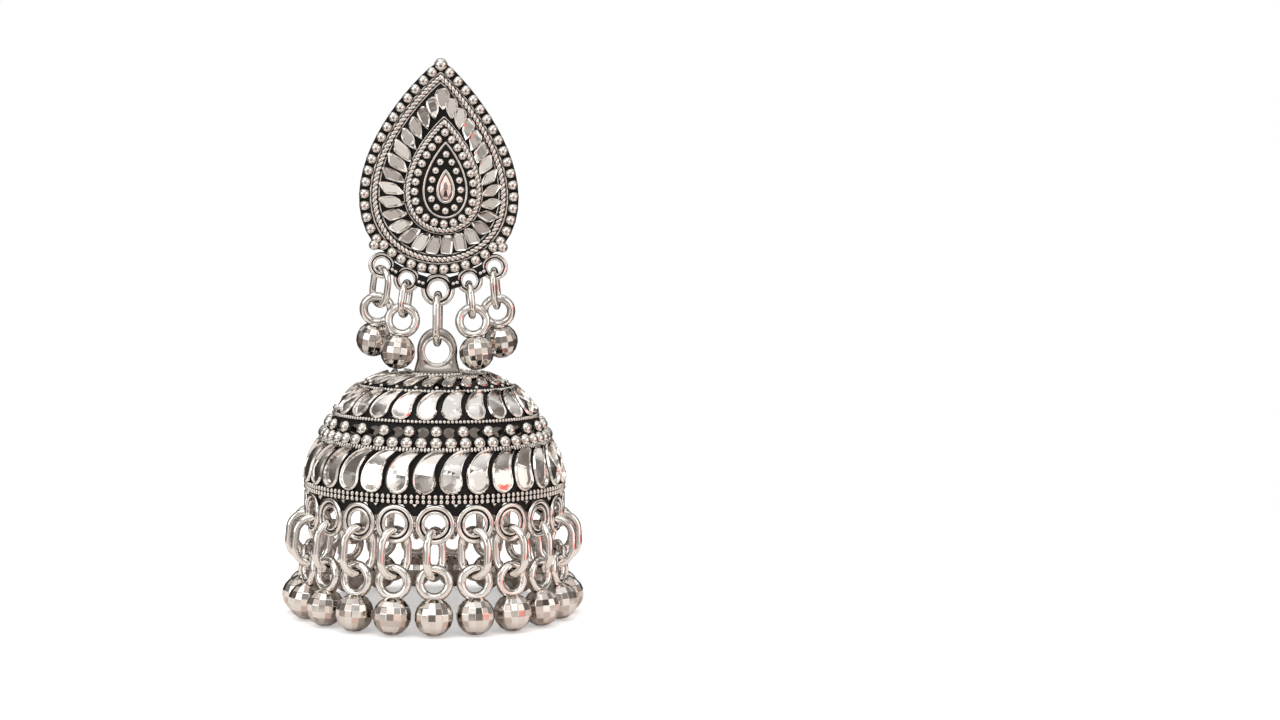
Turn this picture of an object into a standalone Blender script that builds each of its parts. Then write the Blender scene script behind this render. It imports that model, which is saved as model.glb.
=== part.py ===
"""Jhumka earring: a cast teardrop plaque with its ear post, a cast bell hung from it by a long jump ring,
and faceted balls on jump rings, four under the plaque and a fringe of them round the bell.

Metres, +Z up. The front faces -Y and +X is to the right. The origin is the root of the ear post, on the
plaque's flat back. Everything below the plaque hangs straight down, as it does when it is worn.
"""

import math

import bmesh
import bpy
from mathutils import Matrix, Vector

# Plaque: outlines are teardrops, given by half their width and by how far they reach up and down
PLATE_THICKNESS = 0.0012
RIM_HALF_WIDTH = 0.00735
RIM_TOP = 0.0083
RIM_BOTTOM = 0.0124
RIM_WIRE = 0.0008
RIM_APEX = 1.2
TEARDROP_SHARPNESS = 0.85
BORDER_OFFSET = 0.00093
BORDER_BEADS = 49
BORDER_BEAD_RADIUS = 0.00052
PLATE_EDGE_OFFSET = 0.0015
RELIEF_SINK = 0.0001

# Plaque's raised centre, which sits a little right of the plaque's middle
CENTRE_SHIFT = 0.00045
CENTRE_STEP = 0.0008
CENTRE_HALF_WIDTH = 0.0039
CENTRE_TOP = 0.00305
CENTRE_BOTTOM = 0.0089
CENTRE_APEX = 1.5
CENTRE_RIM_WIRE = 0.0008
INNER_BEADS_INSET = 0.0007
INNER_BEADS = 24
INNER_BEAD_RADIUS = 0.00042
CORE_BEADS_INSET = 0.0022
CORE_BEADS = 14
CORE_BEAD_RADIUS = 0.00038
CORE_DROP_INSET = 0.0029
CORE_DROP_HEIGHT = 0.0008

# Plaque's petals, between the rim and the raised centre
PETALS = 29
PETAL_WIDTH = 0.001
PETAL_HEIGHT = 0.0009
PETAL_END_GAP = 0.0001

# Cast loops under the plaque
SIDE_LOOP_RADIUS = 0.00114
SIDE_LOOP_WIRE = 0.00072
OUTER_LOOP_X = 0.00628
OUTER_LOOP_Z = -0.01294
INNER_LOOP_X = 0.00351
INNER_LOOP_Z = -0.01447
MAIN_LOOP_RADIUS = 0.001445
MAIN_LOOP_WIRE = 0.00091
MAIN_LOOP_Z = -0.01557
LOOP_NECK_RADIUS = 0.0005
LOOP_NECK_LENGTH = 0.0012
LOOP_NUB_RADIUS = 0.00045

# Ear post
POST_RADIUS = 0.00045
POST_LENGTH = 0.0105
POST_TIP = 0.0002

# Jump rings: outer height and width, and the gap kept where one wire bears on another
LINK_GAP = 0.00008
SIDE_LINK_WIRE = 0.00072
SIDE_LINK_WIDTH = 0.0036
INNER_SIDE_LINK_HEIGHT = 0.0044
OUTER_SIDE_LINK_HEIGHT = 0.0049
MAIN_LINK_WIRE = 0.0008
MAIN_LINK_WIDTH = 0.0042
MAIN_LINK_HEIGHT = 0.0063
FRINGE_LINK_WIRE = 0.00085
FRINGE_LINK_WIDTH = 0.0046
FRINGE_LINK_HEIGHT = 0.0059

# Charms: a faceted ball under a ring
CHARM_RING_RADIUS = 0.001525
CHARM_RING_WIRE = 0.00095
BALL_RADIUS = 0.00195
BALL_SEAT = 0.0004

# How the small drops hang, in degrees from straight down
INNER_DROP_SPREAD = 7.3
INNER_DROP_BACK = -6.5
OUTER_DROP_SPREAD = 7.0
OUTER_DROP_BACK = 15.0
FRINGE_SPLAY = 5.0

# Bell's bail, a ring on a flared foot
BAIL_RADIUS = 0.001825
BAIL_WIRE = 0.00085
BAIL_CREST = 0.0006
BAIL_FOOT_RADIUS = 0.0017
BAIL_FOOT_HEIGHT = 0.0007
BAIL_RISE = 0.00256

# Bell: outer radius and depth under the top of its collar, tier by tier
BELL_WALL = 0.0009
COLLAR_RADIUS = 0.00615
COLLAR_EDGE = 0.00035
COLLAR_UNDERCUT = 0.0004
CROWN_RADIUS = 0.0086
CROWN_DEPTH = 0.0014
SHOULDER_RADIUS = 0.0114
SHOULDER_DEPTH = 0.0044
WAIST_RADIUS = 0.0129
WAIST_DEPTH = 0.0074
BULGE_RADIUS = 0.01455
BULGE_DEPTH = 0.0102
BAND_RADIUS = 0.01447
BAND_TOP_DEPTH = 0.0116
BAND_HEIGHT = 0.0017

# Bell's crown gaps, petals, beads and the gaps between the beads
CROWN_GAPS = 16
CROWN_GAP_LENGTH = 0.0015
CROWN_GAP_WIDTH = 0.0008
CROWN_GAP_LEAN = 30.0
SHOULDER_PETALS = 25
SHOULDER_PETAL_LENGTH = 0.0030
SHOULDER_PETAL_WIDTH = 0.0015
SHOULDER_PETAL_HEIGHT = 0.0006
BULGE_PETALS = 31
BULGE_PETAL_LENGTH = 0.0032
BULGE_PETAL_WIDTH = 0.0018
BULGE_PETAL_HEIGHT = 0.0007
BELL_PETAL_LEAN = 32.0
WAIST_BEADS = 26
WAIST_BEAD_RADIUS = 0.00062
WAIST_GAP_LENGTH = 0.0009
WAIST_GAP_WIDTH = 0.0008

# Bell's rings and the fringe
FRINGE_DROPS = 21
FRINGE_LOOP_RADIUS = 0.001535
FRINGE_LOOP_WIRE = 0.00087
FRINGE_LOOP_SET_IN = 0.00027
FRINGE_LOOP_SEAT = 0.0003

# Facets
RING_SIDES = 10
WIRE_SIDES = 5
BALL_SIDES = 10
BALL_RINGS = 5
RELIEF_SIDES = 5
PETAL_SIDES = 4
BEAD_RINGS = 3
PAD_RINGS = 2
GAP_SIDES = 4
TEARDROP_POINTS = 30
BELL_SEGMENTS = 28

LOOP_PLANE_Y = -PLATE_THICKNESS / 2
PLATE_FRONT_Y = -PLATE_THICKNESS
CENTRE_FRONT_Y = PLATE_FRONT_Y - CENTRE_STEP
FACE_FRONT = Matrix.Rotation(math.radians(90), 4, "X")


def clear_scene():
    for obj in list(bpy.data.objects):
        bpy.data.objects.remove(obj, do_unlink=True)


def new_collection(name):
    collection = bpy.data.collections.new(name)
    bpy.context.scene.collection.children.link(collection)
    return collection


def silver(name, colour, roughness):
    material = bpy.data.materials.new(name)
    material.use_nodes = True
    shader = material.node_tree.nodes["Principled BSDF"]
    shader.inputs["Base Color"].default_value = (*colour, 1.0)
    shader.inputs["Roughness"].default_value = roughness
    shader.inputs["Metallic"].default_value = 1.0
    return material


def add_object(name, mesh, collection, material=None):
    obj = bpy.data.objects.new(name, mesh)
    collection.objects.link(obj)
    if material is not None:
        mesh.materials.clear()
        mesh.materials.append(material)
    return obj


def mesh_of(bm, name):
    """Turn a bmesh into a mesh and free it."""
    mesh = bpy.data.meshes.new(name)
    bm.to_mesh(mesh)
    bm.free()
    return mesh


def baked_mesh(obj, name):
    """The object's evaluated mesh with its seams welded; the object itself is removed."""
    graph = bpy.context.evaluated_depsgraph_get()
    mesh = bpy.data.meshes.new_from_object(obj.evaluated_get(graph))
    mesh.name = name
    bm = bmesh.new()
    bm.from_mesh(mesh)
    bmesh.ops.transform(bm, matrix=obj.matrix_world, verts=bm.verts)
    bmesh.ops.remove_doubles(bm, verts=bm.verts, dist=1e-6)
    bmesh.ops.recalc_face_normals(bm, faces=bm.faces)
    bm.to_mesh(mesh)
    bm.free()
    bpy.data.objects.remove(obj, do_unlink=True)
    return mesh


def stamp(bm, mesh, matrix):
    """Add a copy of a mesh to a bmesh, moved by the matrix."""
    first = len(bm.verts)
    bm.from_mesh(mesh)
    bm.verts.ensure_lookup_table()
    bmesh.ops.transform(bm, matrix=matrix, verts=bm.verts[first:])


def combine(target, tools, operation):
    """Join every tool in a collection to the target, or cut them out, and keep them as hidden helpers."""
    for tool in tools.objects:
        tool.hide_render = True
        tool.display_type = "WIRE"
    modifier = target.modifiers.new(f"{operation.lower()} {tools.name}", "BOOLEAN")
    modifier.operation = operation
    modifier.operand_type = "COLLECTION"
    modifier.collection = tools


def ring_mesh(name, width, height, wire):
    """A round wire ring or long link, upright in the XZ plane with its centre at the origin."""
    bpy.ops.mesh.primitive_torus_add(
        major_segments=RING_SIDES,
        minor_segments=WIRE_SIDES,
        major_radius=(width - wire) / 2,
        minor_radius=wire / 2,
        rotation=(0, 0, math.pi / RING_SIDES),
    )
    torus = bpy.context.object
    bm = bmesh.new()
    bm.from_mesh(torus.data)
    bmesh.ops.transform(bm, matrix=torus.matrix_world, verts=bm.verts)
    for vert in bm.verts:
        vert.co.y += math.copysign((height - width) / 2, vert.co.y)
    bmesh.ops.transform(bm, matrix=FACE_FRONT, verts=bm.verts)
    bpy.data.objects.remove(torus, do_unlink=True)
    return mesh_of(bm, name)


def pad(bm, place, width, length, height, sides=RELIEF_SIDES, rings=PAD_RINGS):
    """A raised pad or bead: its own Z stands out of the surface, into which it is sunk a little."""
    size = Matrix.Diagonal((width / 2, length / 2, height, 1.0))
    bmesh.ops.create_uvsphere(
        bm,
        u_segments=sides,
        v_segments=rings,
        radius=1.0,
        matrix=place @ Matrix.Translation((0, 0, -RELIEF_SINK)) @ size,
    )


class Teardrop:
    """A teardrop outline in the XZ plane with its point up."""

    def __init__(self, half_width, top, bottom, apex, shift=0.0):
        self.half_width = half_width
        self.top = top
        self.bottom = bottom
        self.apex = apex
        self.shift = shift

    def inset(self, distance):
        """The same outline further in; its pointed end moves by more than its sides do."""
        return Teardrop(
            self.half_width - distance,
            self.top - distance * self.apex,
            self.bottom - distance,
            self.apex,
            self.shift,
        )

    def spaced(self, count):
        """Points at even distances along the outline, from its point and clockwise from the front."""
        steps = 720
        fine = []
        for step in range(steps + 1):
            angle = 2 * math.pi * step / steps
            bulge = math.sin(angle) * math.sin(angle / 2) ** TEARDROP_SHARPNESS
            fine.append(Vector((bulge, math.cos(angle))))
        widest = max(point.x for point in fine)
        half_height = (self.top + self.bottom) / 2
        middle = (self.top - self.bottom) / 2
        for point in fine:
            point.x = self.shift + point.x * self.half_width / widest
            point.y = middle + point.y * half_height
        runs = [0.0]
        for before, after in zip(fine, fine[1:]):
            runs.append(runs[-1] + (after - before).length)
        points = []
        at = 0
        for index in range(count):
            goal = runs[-1] * index / count
            while runs[at + 1] < goal:
                at += 1
            share = (goal - runs[at]) / (runs[at + 1] - runs[at])
            points.append(fine[at].lerp(fine[at + 1], share))
        return points


def plate_object(name, outline, front, back, collection):
    """A flat plate with a teardrop outline."""
    curve = bpy.data.curves.new(name, "CURVE")
    curve.dimensions = "2D"
    curve.fill_mode = "BOTH"
    curve.extrude = (back - front) / 2
    points = outline.spaced(TEARDROP_POINTS)
    spline = curve.splines.new("POLY")
    spline.points.add(len(points) - 1)
    for spline_point, point in zip(spline.points, points):
        spline_point.co = (point.x, point.y, 0.0, 1.0)
    spline.use_cyclic_u = True
    obj = add_object(name, curve, bpy.context.scene.collection)
    obj.matrix_world = Matrix.Translation((0, (front + back) / 2, 0)) @ FACE_FRONT
    bpy.context.view_layer.update()
    return add_object(name, baked_mesh(obj, name), collection)


def rim_object(name, outline, wire, y, collection):
    """A round wire laid along a teardrop outline."""
    curve = bpy.data.curves.new(name, "CURVE")
    curve.dimensions = "3D"
    curve.bevel_depth = wire / 2
    curve.bevel_resolution = 0
    points = outline.spaced(TEARDROP_POINTS)
    spline = curve.splines.new("POLY")
    spline.points.add(len(points) - 1)
    for spline_point, point in zip(spline.points, points):
        spline_point.co = (point.x, y + RELIEF_SINK, point.y, 1.0)
    spline.use_cyclic_u = True
    obj = add_object(name, curve, bpy.context.scene.collection)
    bpy.context.view_layer.update()
    return add_object(name, baked_mesh(obj, name), collection)


def bead_row(name, outline, count, radius, y, collection, rings=PAD_RINGS):
    """Beads at even distances along a teardrop outline."""
    bm = bmesh.new()
    for point in outline.spaced(count):
        place = Matrix.Translation((point.x, y, point.y)) @ FACE_FRONT
        pad(bm, place, 2 * radius, 2 * radius, radius, rings=rings)
    return add_object(name, mesh_of(bm, name), collection)


def petal_ring(name, outer, inner, collection):
    """Petals from the raised centre out to the rim, one at the top and the rest down both sides."""
    bm = bmesh.new()
    for start, end in zip(inner.spaced(PETALS), outer.spaced(PETALS)):
        run = end - start
        middle = (start + end) / 2
        turn = math.atan2(run.y, run.x) - math.pi / 2
        place = Matrix.Translation((middle.x, PLATE_FRONT_Y, middle.y))
        place = place @ Matrix.Rotation(-turn, 4, "Y") @ FACE_FRONT
        pad(bm, place, PETAL_WIDTH, run.length, PETAL_HEIGHT, PETAL_SIDES)
    return add_object(name, mesh_of(bm, name), collection)


def plaque_loops():
    """Centre, ring radius and wire of each cast loop, from left to right."""
    outer = (SIDE_LOOP_RADIUS, SIDE_LOOP_WIRE)
    return [
        (Vector((-OUTER_LOOP_X, LOOP_PLANE_Y, OUTER_LOOP_Z)), *outer),
        (Vector((-INNER_LOOP_X, LOOP_PLANE_Y, INNER_LOOP_Z)), *outer),
        (Vector((0.0, LOOP_PLANE_Y, MAIN_LOOP_Z)), MAIN_LOOP_RADIUS, MAIN_LOOP_WIRE),
        (Vector((INNER_LOOP_X, LOOP_PLANE_Y, INNER_LOOP_Z)), *outer),
        (Vector((OUTER_LOOP_X, LOOP_PLANE_Y, OUTER_LOOP_Z)), *outer),
    ]


def loop_row(name, collection):
    """The cast loops as rings that do not touch each other."""
    bm = bmesh.new()
    for centre, radius, wire in plaque_loops():
        mesh = ring_mesh("loop", 2 * radius + wire, 2 * radius + wire, wire)
        stamp(bm, mesh, Matrix.Translation(centre))
    return add_object(name, mesh_of(bm, name), collection)


def rod(bm, start, end, radius, sides):
    """A straight round rod between two points."""
    run = end - start
    place = Matrix.Translation((start + end) / 2) @ run.to_track_quat("Z", "Y").to_matrix().to_4x4()
    bmesh.ops.create_cone(
        bm,
        cap_ends=True,
        segments=sides,
        radius1=radius,
        radius2=radius,
        depth=run.length,
        matrix=place,
    )


def loop_necks(name, collection):
    """Short necks that carry the loops on the plate's edge."""
    bm = bmesh.new()
    middle = Vector((0.0, LOOP_PLANE_Y, 0.0))
    for centre, radius, _ in plaque_loops():
        inward = (middle - centre).normalized()
        start = centre + inward * radius
        rod(bm, start, start + inward * LOOP_NECK_LENGTH, LOOP_NECK_RADIUS, RELIEF_SIDES)
    return add_object(name, mesh_of(bm, name), collection)


def loop_nubs(name, collection):
    """Nubs that tie each loop to the next and leave a small gap above them."""
    bm = bmesh.new()
    loops = plaque_loops()
    for (centre, radius, _), (following, next_radius, _) in zip(loops, loops[1:]):
        along = (following - centre).normalized()
        rod(bm, centre + along * radius, following - along * next_radius, LOOP_NUB_RADIUS, RELIEF_SIDES)
    return add_object(name, mesh_of(bm, name), collection)


def ear_post(name, collection):
    """The plain post, rooted in the plate and rounded at its tip."""
    bm = bmesh.new()
    root = Vector((0.0, -PLATE_THICKNESS / 2, 0.0))
    rod(bm, root, Vector((0.0, POST_LENGTH, 0.0)), POST_RADIUS, RING_SIDES)
    tip = [edge for edge in bm.edges if min(vert.co.y for vert in edge.verts) > POST_LENGTH - POST_TIP]
    bmesh.ops.bevel(bm, geom=tip, offset=POST_TIP, segments=1, affect="EDGES")
    return add_object(name, mesh_of(bm, name), collection)


def build_stud(collection, material):
    helpers = new_collection("stud_relief")
    rim = Teardrop(RIM_HALF_WIDTH, RIM_TOP, RIM_BOTTOM, RIM_APEX)
    centre = Teardrop(CENTRE_HALF_WIDTH, CENTRE_TOP, CENTRE_BOTTOM, CENTRE_APEX, CENTRE_SHIFT)
    stud = plate_object("stud_plaque", rim.inset(-PLATE_EDGE_OFFSET), PLATE_FRONT_Y, 0.0, collection)
    stud.data.materials.append(material)
    plate_object("centre_plate", centre, CENTRE_FRONT_Y, LOOP_PLANE_Y, helpers)
    rim_object("rim", rim, RIM_WIRE, PLATE_FRONT_Y, helpers)
    rim_object("centre_rim", centre, CENTRE_RIM_WIRE, CENTRE_FRONT_Y, helpers)
    petal_outer = rim.inset(RIM_WIRE / 2 + PETAL_END_GAP)
    petal_inner = centre.inset(-CENTRE_RIM_WIRE / 2 - PETAL_END_GAP)
    petal_ring("petals", petal_outer, petal_inner, helpers)
    border = rim.inset(-BORDER_OFFSET)
    bead_row("border", border, BORDER_BEADS, BORDER_BEAD_RADIUS, PLATE_FRONT_Y, helpers, BEAD_RINGS)
    inner = centre.inset(INNER_BEADS_INSET)
    bead_row("inner_beads", inner, INNER_BEADS, INNER_BEAD_RADIUS, CENTRE_FRONT_Y, helpers)
    core = centre.inset(CORE_BEADS_INSET)
    bead_row("core_beads", core, CORE_BEADS, CORE_BEAD_RADIUS, CENTRE_FRONT_Y, helpers)
    core_drop("core_drop", centre.inset(CORE_DROP_INSET), helpers)
    loop_necks("loop_necks", helpers)
    loop_row("loops", helpers)
    loop_nubs("loop_nubs", helpers)
    ear_post("post", helpers)
    combine(stud, helpers, "UNION")
    return stud


def core_drop(name, outline, collection):
    """The smooth drop in the middle of the plaque."""
    bm = bmesh.new()
    centre_z = (outline.top - outline.bottom) / 2
    place = Matrix.Translation((outline.shift, CENTRE_FRONT_Y, centre_z)) @ FACE_FRONT
    pad(bm, place, 2 * outline.half_width, outline.top + outline.bottom, CORE_DROP_HEIGHT, rings=BEAD_RINGS)
    return add_object(name, mesh_of(bm, name), collection)


def charm_mesh(material):
    """A faceted ball fused to its ring, with the ring's centre at the origin."""
    outer = 2 * CHARM_RING_RADIUS + CHARM_RING_WIRE
    helpers = new_collection("charm_ball")
    charm = add_object(
        "charm",
        ring_mesh("charm_ring", outer, outer, CHARM_RING_WIRE),
        bpy.context.scene.collection,
    )
    bm = bmesh.new()
    bmesh.ops.create_uvsphere(
        bm,
        u_segments=BALL_SIDES,
        v_segments=BALL_RINGS,
        radius=BALL_RADIUS,
        matrix=Matrix.Translation((0, 0, -ball_drop())),
    )
    add_object("ball", mesh_of(bm, "ball"), helpers)
    combine(charm, helpers, "UNION")
    bpy.context.view_layer.update()
    mesh = baked_mesh(charm, "charm")
    mesh.materials.append(material)
    return mesh


def ball_drop():
    """How far a ball's centre lies under its ring's centre."""
    return CHARM_RING_RADIUS + CHARM_RING_WIRE / 2 + BALL_RADIUS - BALL_SEAT


def bearing(wire, other_wire):
    """Distance between the middles of two wires where one hangs on the other."""
    return (wire + other_wire) / 2 + LINK_GAP


def hang_drop(names, meshes, place, loop_wire, link_wire, link_height, collection):
    """A jump ring and a charm under a loop. The place is at the loop's lowest wire, its own X along the wire."""
    link_top = bearing(loop_wire, link_wire)
    link_bottom = link_top - (link_height - link_wire)
    charm_centre = link_bottom + bearing(link_wire, CHARM_RING_WIRE) - CHARM_RING_RADIUS
    link_turn = Matrix.Rotation(math.radians(90), 4, "Z")
    link = add_object(names[0], meshes[0], collection)
    link.matrix_world = place @ Matrix.Translation((0, 0, (link_top + link_bottom) / 2)) @ link_turn
    charm = add_object(names[1], meshes[1], collection)
    charm.matrix_world = place @ Matrix.Translation((0, 0, charm_centre))


def build_side_drops(collection, charm, link_material):
    loops = plaque_loops()
    sides = [
        (loops[0], 1, OUTER_DROP_SPREAD, OUTER_DROP_BACK, OUTER_SIDE_LINK_HEIGHT),
        (loops[1], 1, INNER_DROP_SPREAD, INNER_DROP_BACK, INNER_SIDE_LINK_HEIGHT),
        (loops[3], -1, INNER_DROP_SPREAD, INNER_DROP_BACK, INNER_SIDE_LINK_HEIGHT),
        (loops[4], -1, OUTER_DROP_SPREAD, OUTER_DROP_BACK, OUTER_SIDE_LINK_HEIGHT),
    ]
    for number, ((centre, radius, wire), side, spread, back, height) in enumerate(sides, 1):
        link = ring_mesh("side_link", SIDE_LINK_WIDTH, height, SIDE_LINK_WIRE)
        link.materials.append(link_material)
        place = Matrix.Translation(centre - Vector((0, 0, radius)))
        place = place @ Matrix.Rotation(math.radians(side * spread), 4, "Y")
        place = place @ Matrix.Rotation(math.radians(back), 4, "X")
        names = (f"side_link_{number}", f"side_charm_{number}")
        hang_drop(names, (link, charm), place, wire, SIDE_LINK_WIRE, height, collection)


def main_pivot_z():
    """Height of the lowest wire of the plaque's middle loop, where the long link hangs."""
    return MAIN_LOOP_Z - MAIN_LOOP_RADIUS


def link_bottom_z():
    """Height of the long link's lowest wire, where the bell hangs."""
    link_top = main_pivot_z() + bearing(MAIN_LOOP_WIRE, MAIN_LINK_WIRE)
    return link_top - (MAIN_LINK_HEIGHT - MAIN_LINK_WIRE)


def bail_centre_z():
    return link_bottom_z() + bearing(MAIN_LINK_WIRE, BAIL_WIRE) - BAIL_RADIUS


def collar_top_z():
    return bail_centre_z() - BAIL_RISE


def build_main_link(collection, material):
    link = ring_mesh("main_link", MAIN_LINK_WIDTH, MAIN_LINK_HEIGHT, MAIN_LINK_WIRE)
    link.materials.append(material)
    obj = add_object("main_link", link, collection)
    link_top = main_pivot_z() + bearing(MAIN_LOOP_WIRE, MAIN_LINK_WIRE)
    centre = Vector((0, LOOP_PLANE_Y, (link_top + link_bottom_z()) / 2))
    obj.matrix_world = Matrix.Translation(centre) @ Matrix.Rotation(math.radians(90), 4, "Z")
    return obj


def wall_slope(upper, lower):
    """Angle of the wall from upright, between two points given as radius and depth."""
    return math.atan2(lower[0] - upper[0], lower[1] - upper[1])


def band_bottom_depth():
    """Depth of the bell's mouth under the collar's top."""
    return BAND_TOP_DEPTH + BAND_HEIGHT


def bell_tiers():
    """The bell's tier edges, as radius and depth under the collar's top."""
    return {
        "collar": (COLLAR_RADIUS, COLLAR_EDGE),
        "crown": (CROWN_RADIUS, CROWN_DEPTH),
        "shoulder": (SHOULDER_RADIUS, SHOULDER_DEPTH),
        "waist": (WAIST_RADIUS, WAIST_DEPTH),
        "bulge": (BULGE_RADIUS, BULGE_DEPTH),
        "band": (BAND_RADIUS, BAND_TOP_DEPTH),
        "mouth": (BAND_RADIUS, band_bottom_depth()),
    }


def bell_profile():
    """Radius and depth of the bell's section: down the outside, across the mouth and up the inside."""
    edges = list(bell_tiers().values())
    undercut = Vector((COLLAR_RADIUS - COLLAR_UNDERCUT, COLLAR_EDGE + COLLAR_UNDERCUT / 2))
    outside = [Vector((0.0, 0.0)), Vector((COLLAR_RADIUS, 0.0)), Vector(edges[0]), undercut]
    outside += [Vector(edge) for edge in edges[1:]]
    inside = []
    for upper, edge, lower in zip(edges, edges[1:], edges[2:]):
        slope = wall_slope(upper, lower)
        inward = Vector((-math.cos(slope), math.sin(slope))) * BELL_WALL
        inside.append(Vector(edge) + inward)
    inside[-1] = Vector((BAND_RADIUS - BELL_WALL, BAND_TOP_DEPTH))
    inside.append(Vector((BAND_RADIUS - BELL_WALL, band_bottom_depth())))
    crown = Vector((COLLAR_RADIUS - BELL_WALL, COLLAR_EDGE + BELL_WALL))
    return outside + inside[::-1] + [crown, Vector((0.0, crown.y))]


def bell_shell(name, collection, material):
    """The bell's wall, turned about the Z axis."""
    bm = bmesh.new()
    top = collar_top_z()
    verts = [bm.verts.new((point.x, 0.0, top - point.y)) for point in bell_profile()]
    for before, after in zip(verts, verts[1:]):
        bm.edges.new((before, after))
    shell = add_object(name, mesh_of(bm, name), collection, material)
    shell.location = (0, LOOP_PLANE_Y, 0)
    screw = shell.modifiers.new("turn", "SCREW")
    screw.steps = BELL_SEGMENTS
    screw.render_steps = BELL_SEGMENTS
    screw.use_merge_vertices = True
    screw.merge_threshold = 1e-6
    screw.use_normal_calculate = True
    return shell


def on_bell(azimuth, upper, lower, lean):
    """The middle of the bell's wall between two tier edges: X along the ring, Y up the wall, Z straight out."""
    radius = (upper[0] + lower[0]) / 2
    depth = (upper[1] + lower[1]) / 2
    slope = wall_slope(upper, lower)
    place = Matrix.Translation((0, LOOP_PLANE_Y, collar_top_z() - depth))
    place = place @ Matrix.Rotation(azimuth, 4, "Z") @ Matrix.Translation((radius, 0, 0))
    place = place @ Matrix.Rotation(math.radians(90), 4, "Z")
    place = place @ Matrix.Rotation(math.radians(90) - slope, 4, "X")
    return place @ Matrix.Rotation(math.radians(lean), 4, "Z")


def round_bell(count, start=0.0):
    """Azimuths of a row of things round the bell, the first one at the front."""
    return [-math.pi / 2 + 2 * math.pi * (index + start) / count for index in range(count)]


def bell_pads(name, count, upper, lower, width, length, height, lean, sides, collection):
    """A row of raised pads between two tier edges."""
    bm = bmesh.new()
    for azimuth in round_bell(count):
        pad(bm, on_bell(azimuth, upper, lower, lean), width, length, height, sides)
    return add_object(name, mesh_of(bm, name), collection)


def bell_gaps(name, count, upper, lower, width, length, lean, collection, start=0.0):
    """Cutters for a row of gaps right through the wall."""
    bm = bmesh.new()
    for azimuth in round_bell(count, start):
        size = Matrix.Diagonal((width / 2, length / 2, 1.0, 1.0))
        bmesh.ops.create_cone(
            bm,
            cap_ends=True,
            segments=GAP_SIDES,
            radius1=1.0,
            radius2=1.0,
            depth=4 * BELL_WALL,
            matrix=on_bell(azimuth, upper, lower, lean) @ size,
        )
    return add_object(name, mesh_of(bm, name), collection)


def fringe_loop_place(azimuth):
    """Centre of a cast ring under the bell's band, its own Y straight out from the bell."""
    depth = band_bottom_depth() + FRINGE_LOOP_RADIUS + FRINGE_LOOP_WIRE / 2 - FRINGE_LOOP_SEAT
    place = Matrix.Translation((0, LOOP_PLANE_Y, collar_top_z() - depth))
    place = place @ Matrix.Rotation(azimuth - math.pi / 2, 4, "Z")
    return place @ Matrix.Translation((0, BAND_RADIUS - FRINGE_LOOP_SET_IN, 0))


def fringe_loops(name, collection):
    bm = bmesh.new()
    outer = 2 * FRINGE_LOOP_RADIUS + FRINGE_LOOP_WIRE
    mesh = ring_mesh("fringe_loop", outer, outer, FRINGE_LOOP_WIRE)
    for azimuth in round_bell(FRINGE_DROPS):
        stamp(bm, mesh, fringe_loop_place(azimuth))
    return add_object(name, mesh_of(bm, name), collection)


def bail(name, collection):
    """The ring that the bell hangs by, thicker over its top."""
    outer = 2 * BAIL_RADIUS + BAIL_WIRE
    bm = bmesh.new()
    mesh = ring_mesh("bail_ring", outer, outer, BAIL_WIRE)
    stamp(bm, mesh, Matrix.Translation((0, LOOP_PLANE_Y, bail_centre_z())))
    for vert in bm.verts:
        above = vert.co.z - bail_centre_z()
        if above > BAIL_RADIUS:
            vert.co.z += BAIL_CREST * (above - BAIL_RADIUS) / (BAIL_WIRE / 2)
    return add_object(name, mesh_of(bm, name), collection)


def bail_foot(name, collection):
    """The flared foot between the bail and the collar."""
    bm = bmesh.new()
    height = BAIL_FOOT_HEIGHT + COLLAR_EDGE
    place = Matrix.Translation((0, LOOP_PLANE_Y, collar_top_z() - COLLAR_EDGE + height / 2))
    bmesh.ops.create_cone(
        bm,
        cap_ends=True,
        segments=RING_SIDES,
        radius1=BAIL_FOOT_RADIUS,
        radius2=BAIL_FOOT_RADIUS / 2,
        depth=height,
        matrix=place,
    )
    return add_object(name, mesh_of(bm, name), collection)


def build_bell(collection, material):
    relief = new_collection("bell_relief")
    gaps = new_collection("bell_gaps")
    tiers = bell_tiers()
    shell = bell_shell("bell", collection, material)
    crown = (tiers["collar"], tiers["crown"])
    shoulder = (tiers["crown"], tiers["shoulder"])
    waist = (tiers["shoulder"], tiers["waist"])
    bulge = (tiers["waist"], tiers["band"])
    waist_bead = (2 * WAIST_BEAD_RADIUS, 2 * WAIST_BEAD_RADIUS, WAIST_BEAD_RADIUS)
    shoulder_petal = (SHOULDER_PETAL_WIDTH, SHOULDER_PETAL_LENGTH, SHOULDER_PETAL_HEIGHT)
    bulge_petal = (BULGE_PETAL_WIDTH, BULGE_PETAL_LENGTH, BULGE_PETAL_HEIGHT)
    leaf = (BELL_PETAL_LEAN, PETAL_SIDES)
    bell_pads("shoulder_petals", SHOULDER_PETALS, *shoulder, *shoulder_petal, *leaf, relief)
    bell_pads("waist_beads", WAIST_BEADS, *waist, *waist_bead, 0.0, RELIEF_SIDES, relief)
    bell_pads("bulge_petals", BULGE_PETALS, *bulge, *bulge_petal, *leaf, relief)
    fringe_loops("fringe_loops", relief)
    bail_foot("bail_foot", relief)
    bail("bail", relief)
    bell_gaps("crown_gaps", CROWN_GAPS, *crown, CROWN_GAP_WIDTH, CROWN_GAP_LENGTH, CROWN_GAP_LEAN, gaps)
    bell_gaps("waist_gaps", WAIST_BEADS, *waist, WAIST_GAP_WIDTH, WAIST_GAP_LENGTH, 0.0, gaps, 0.5)
    combine(shell, relief, "UNION")
    combine(shell, gaps, "DIFFERENCE")
    return shell


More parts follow.
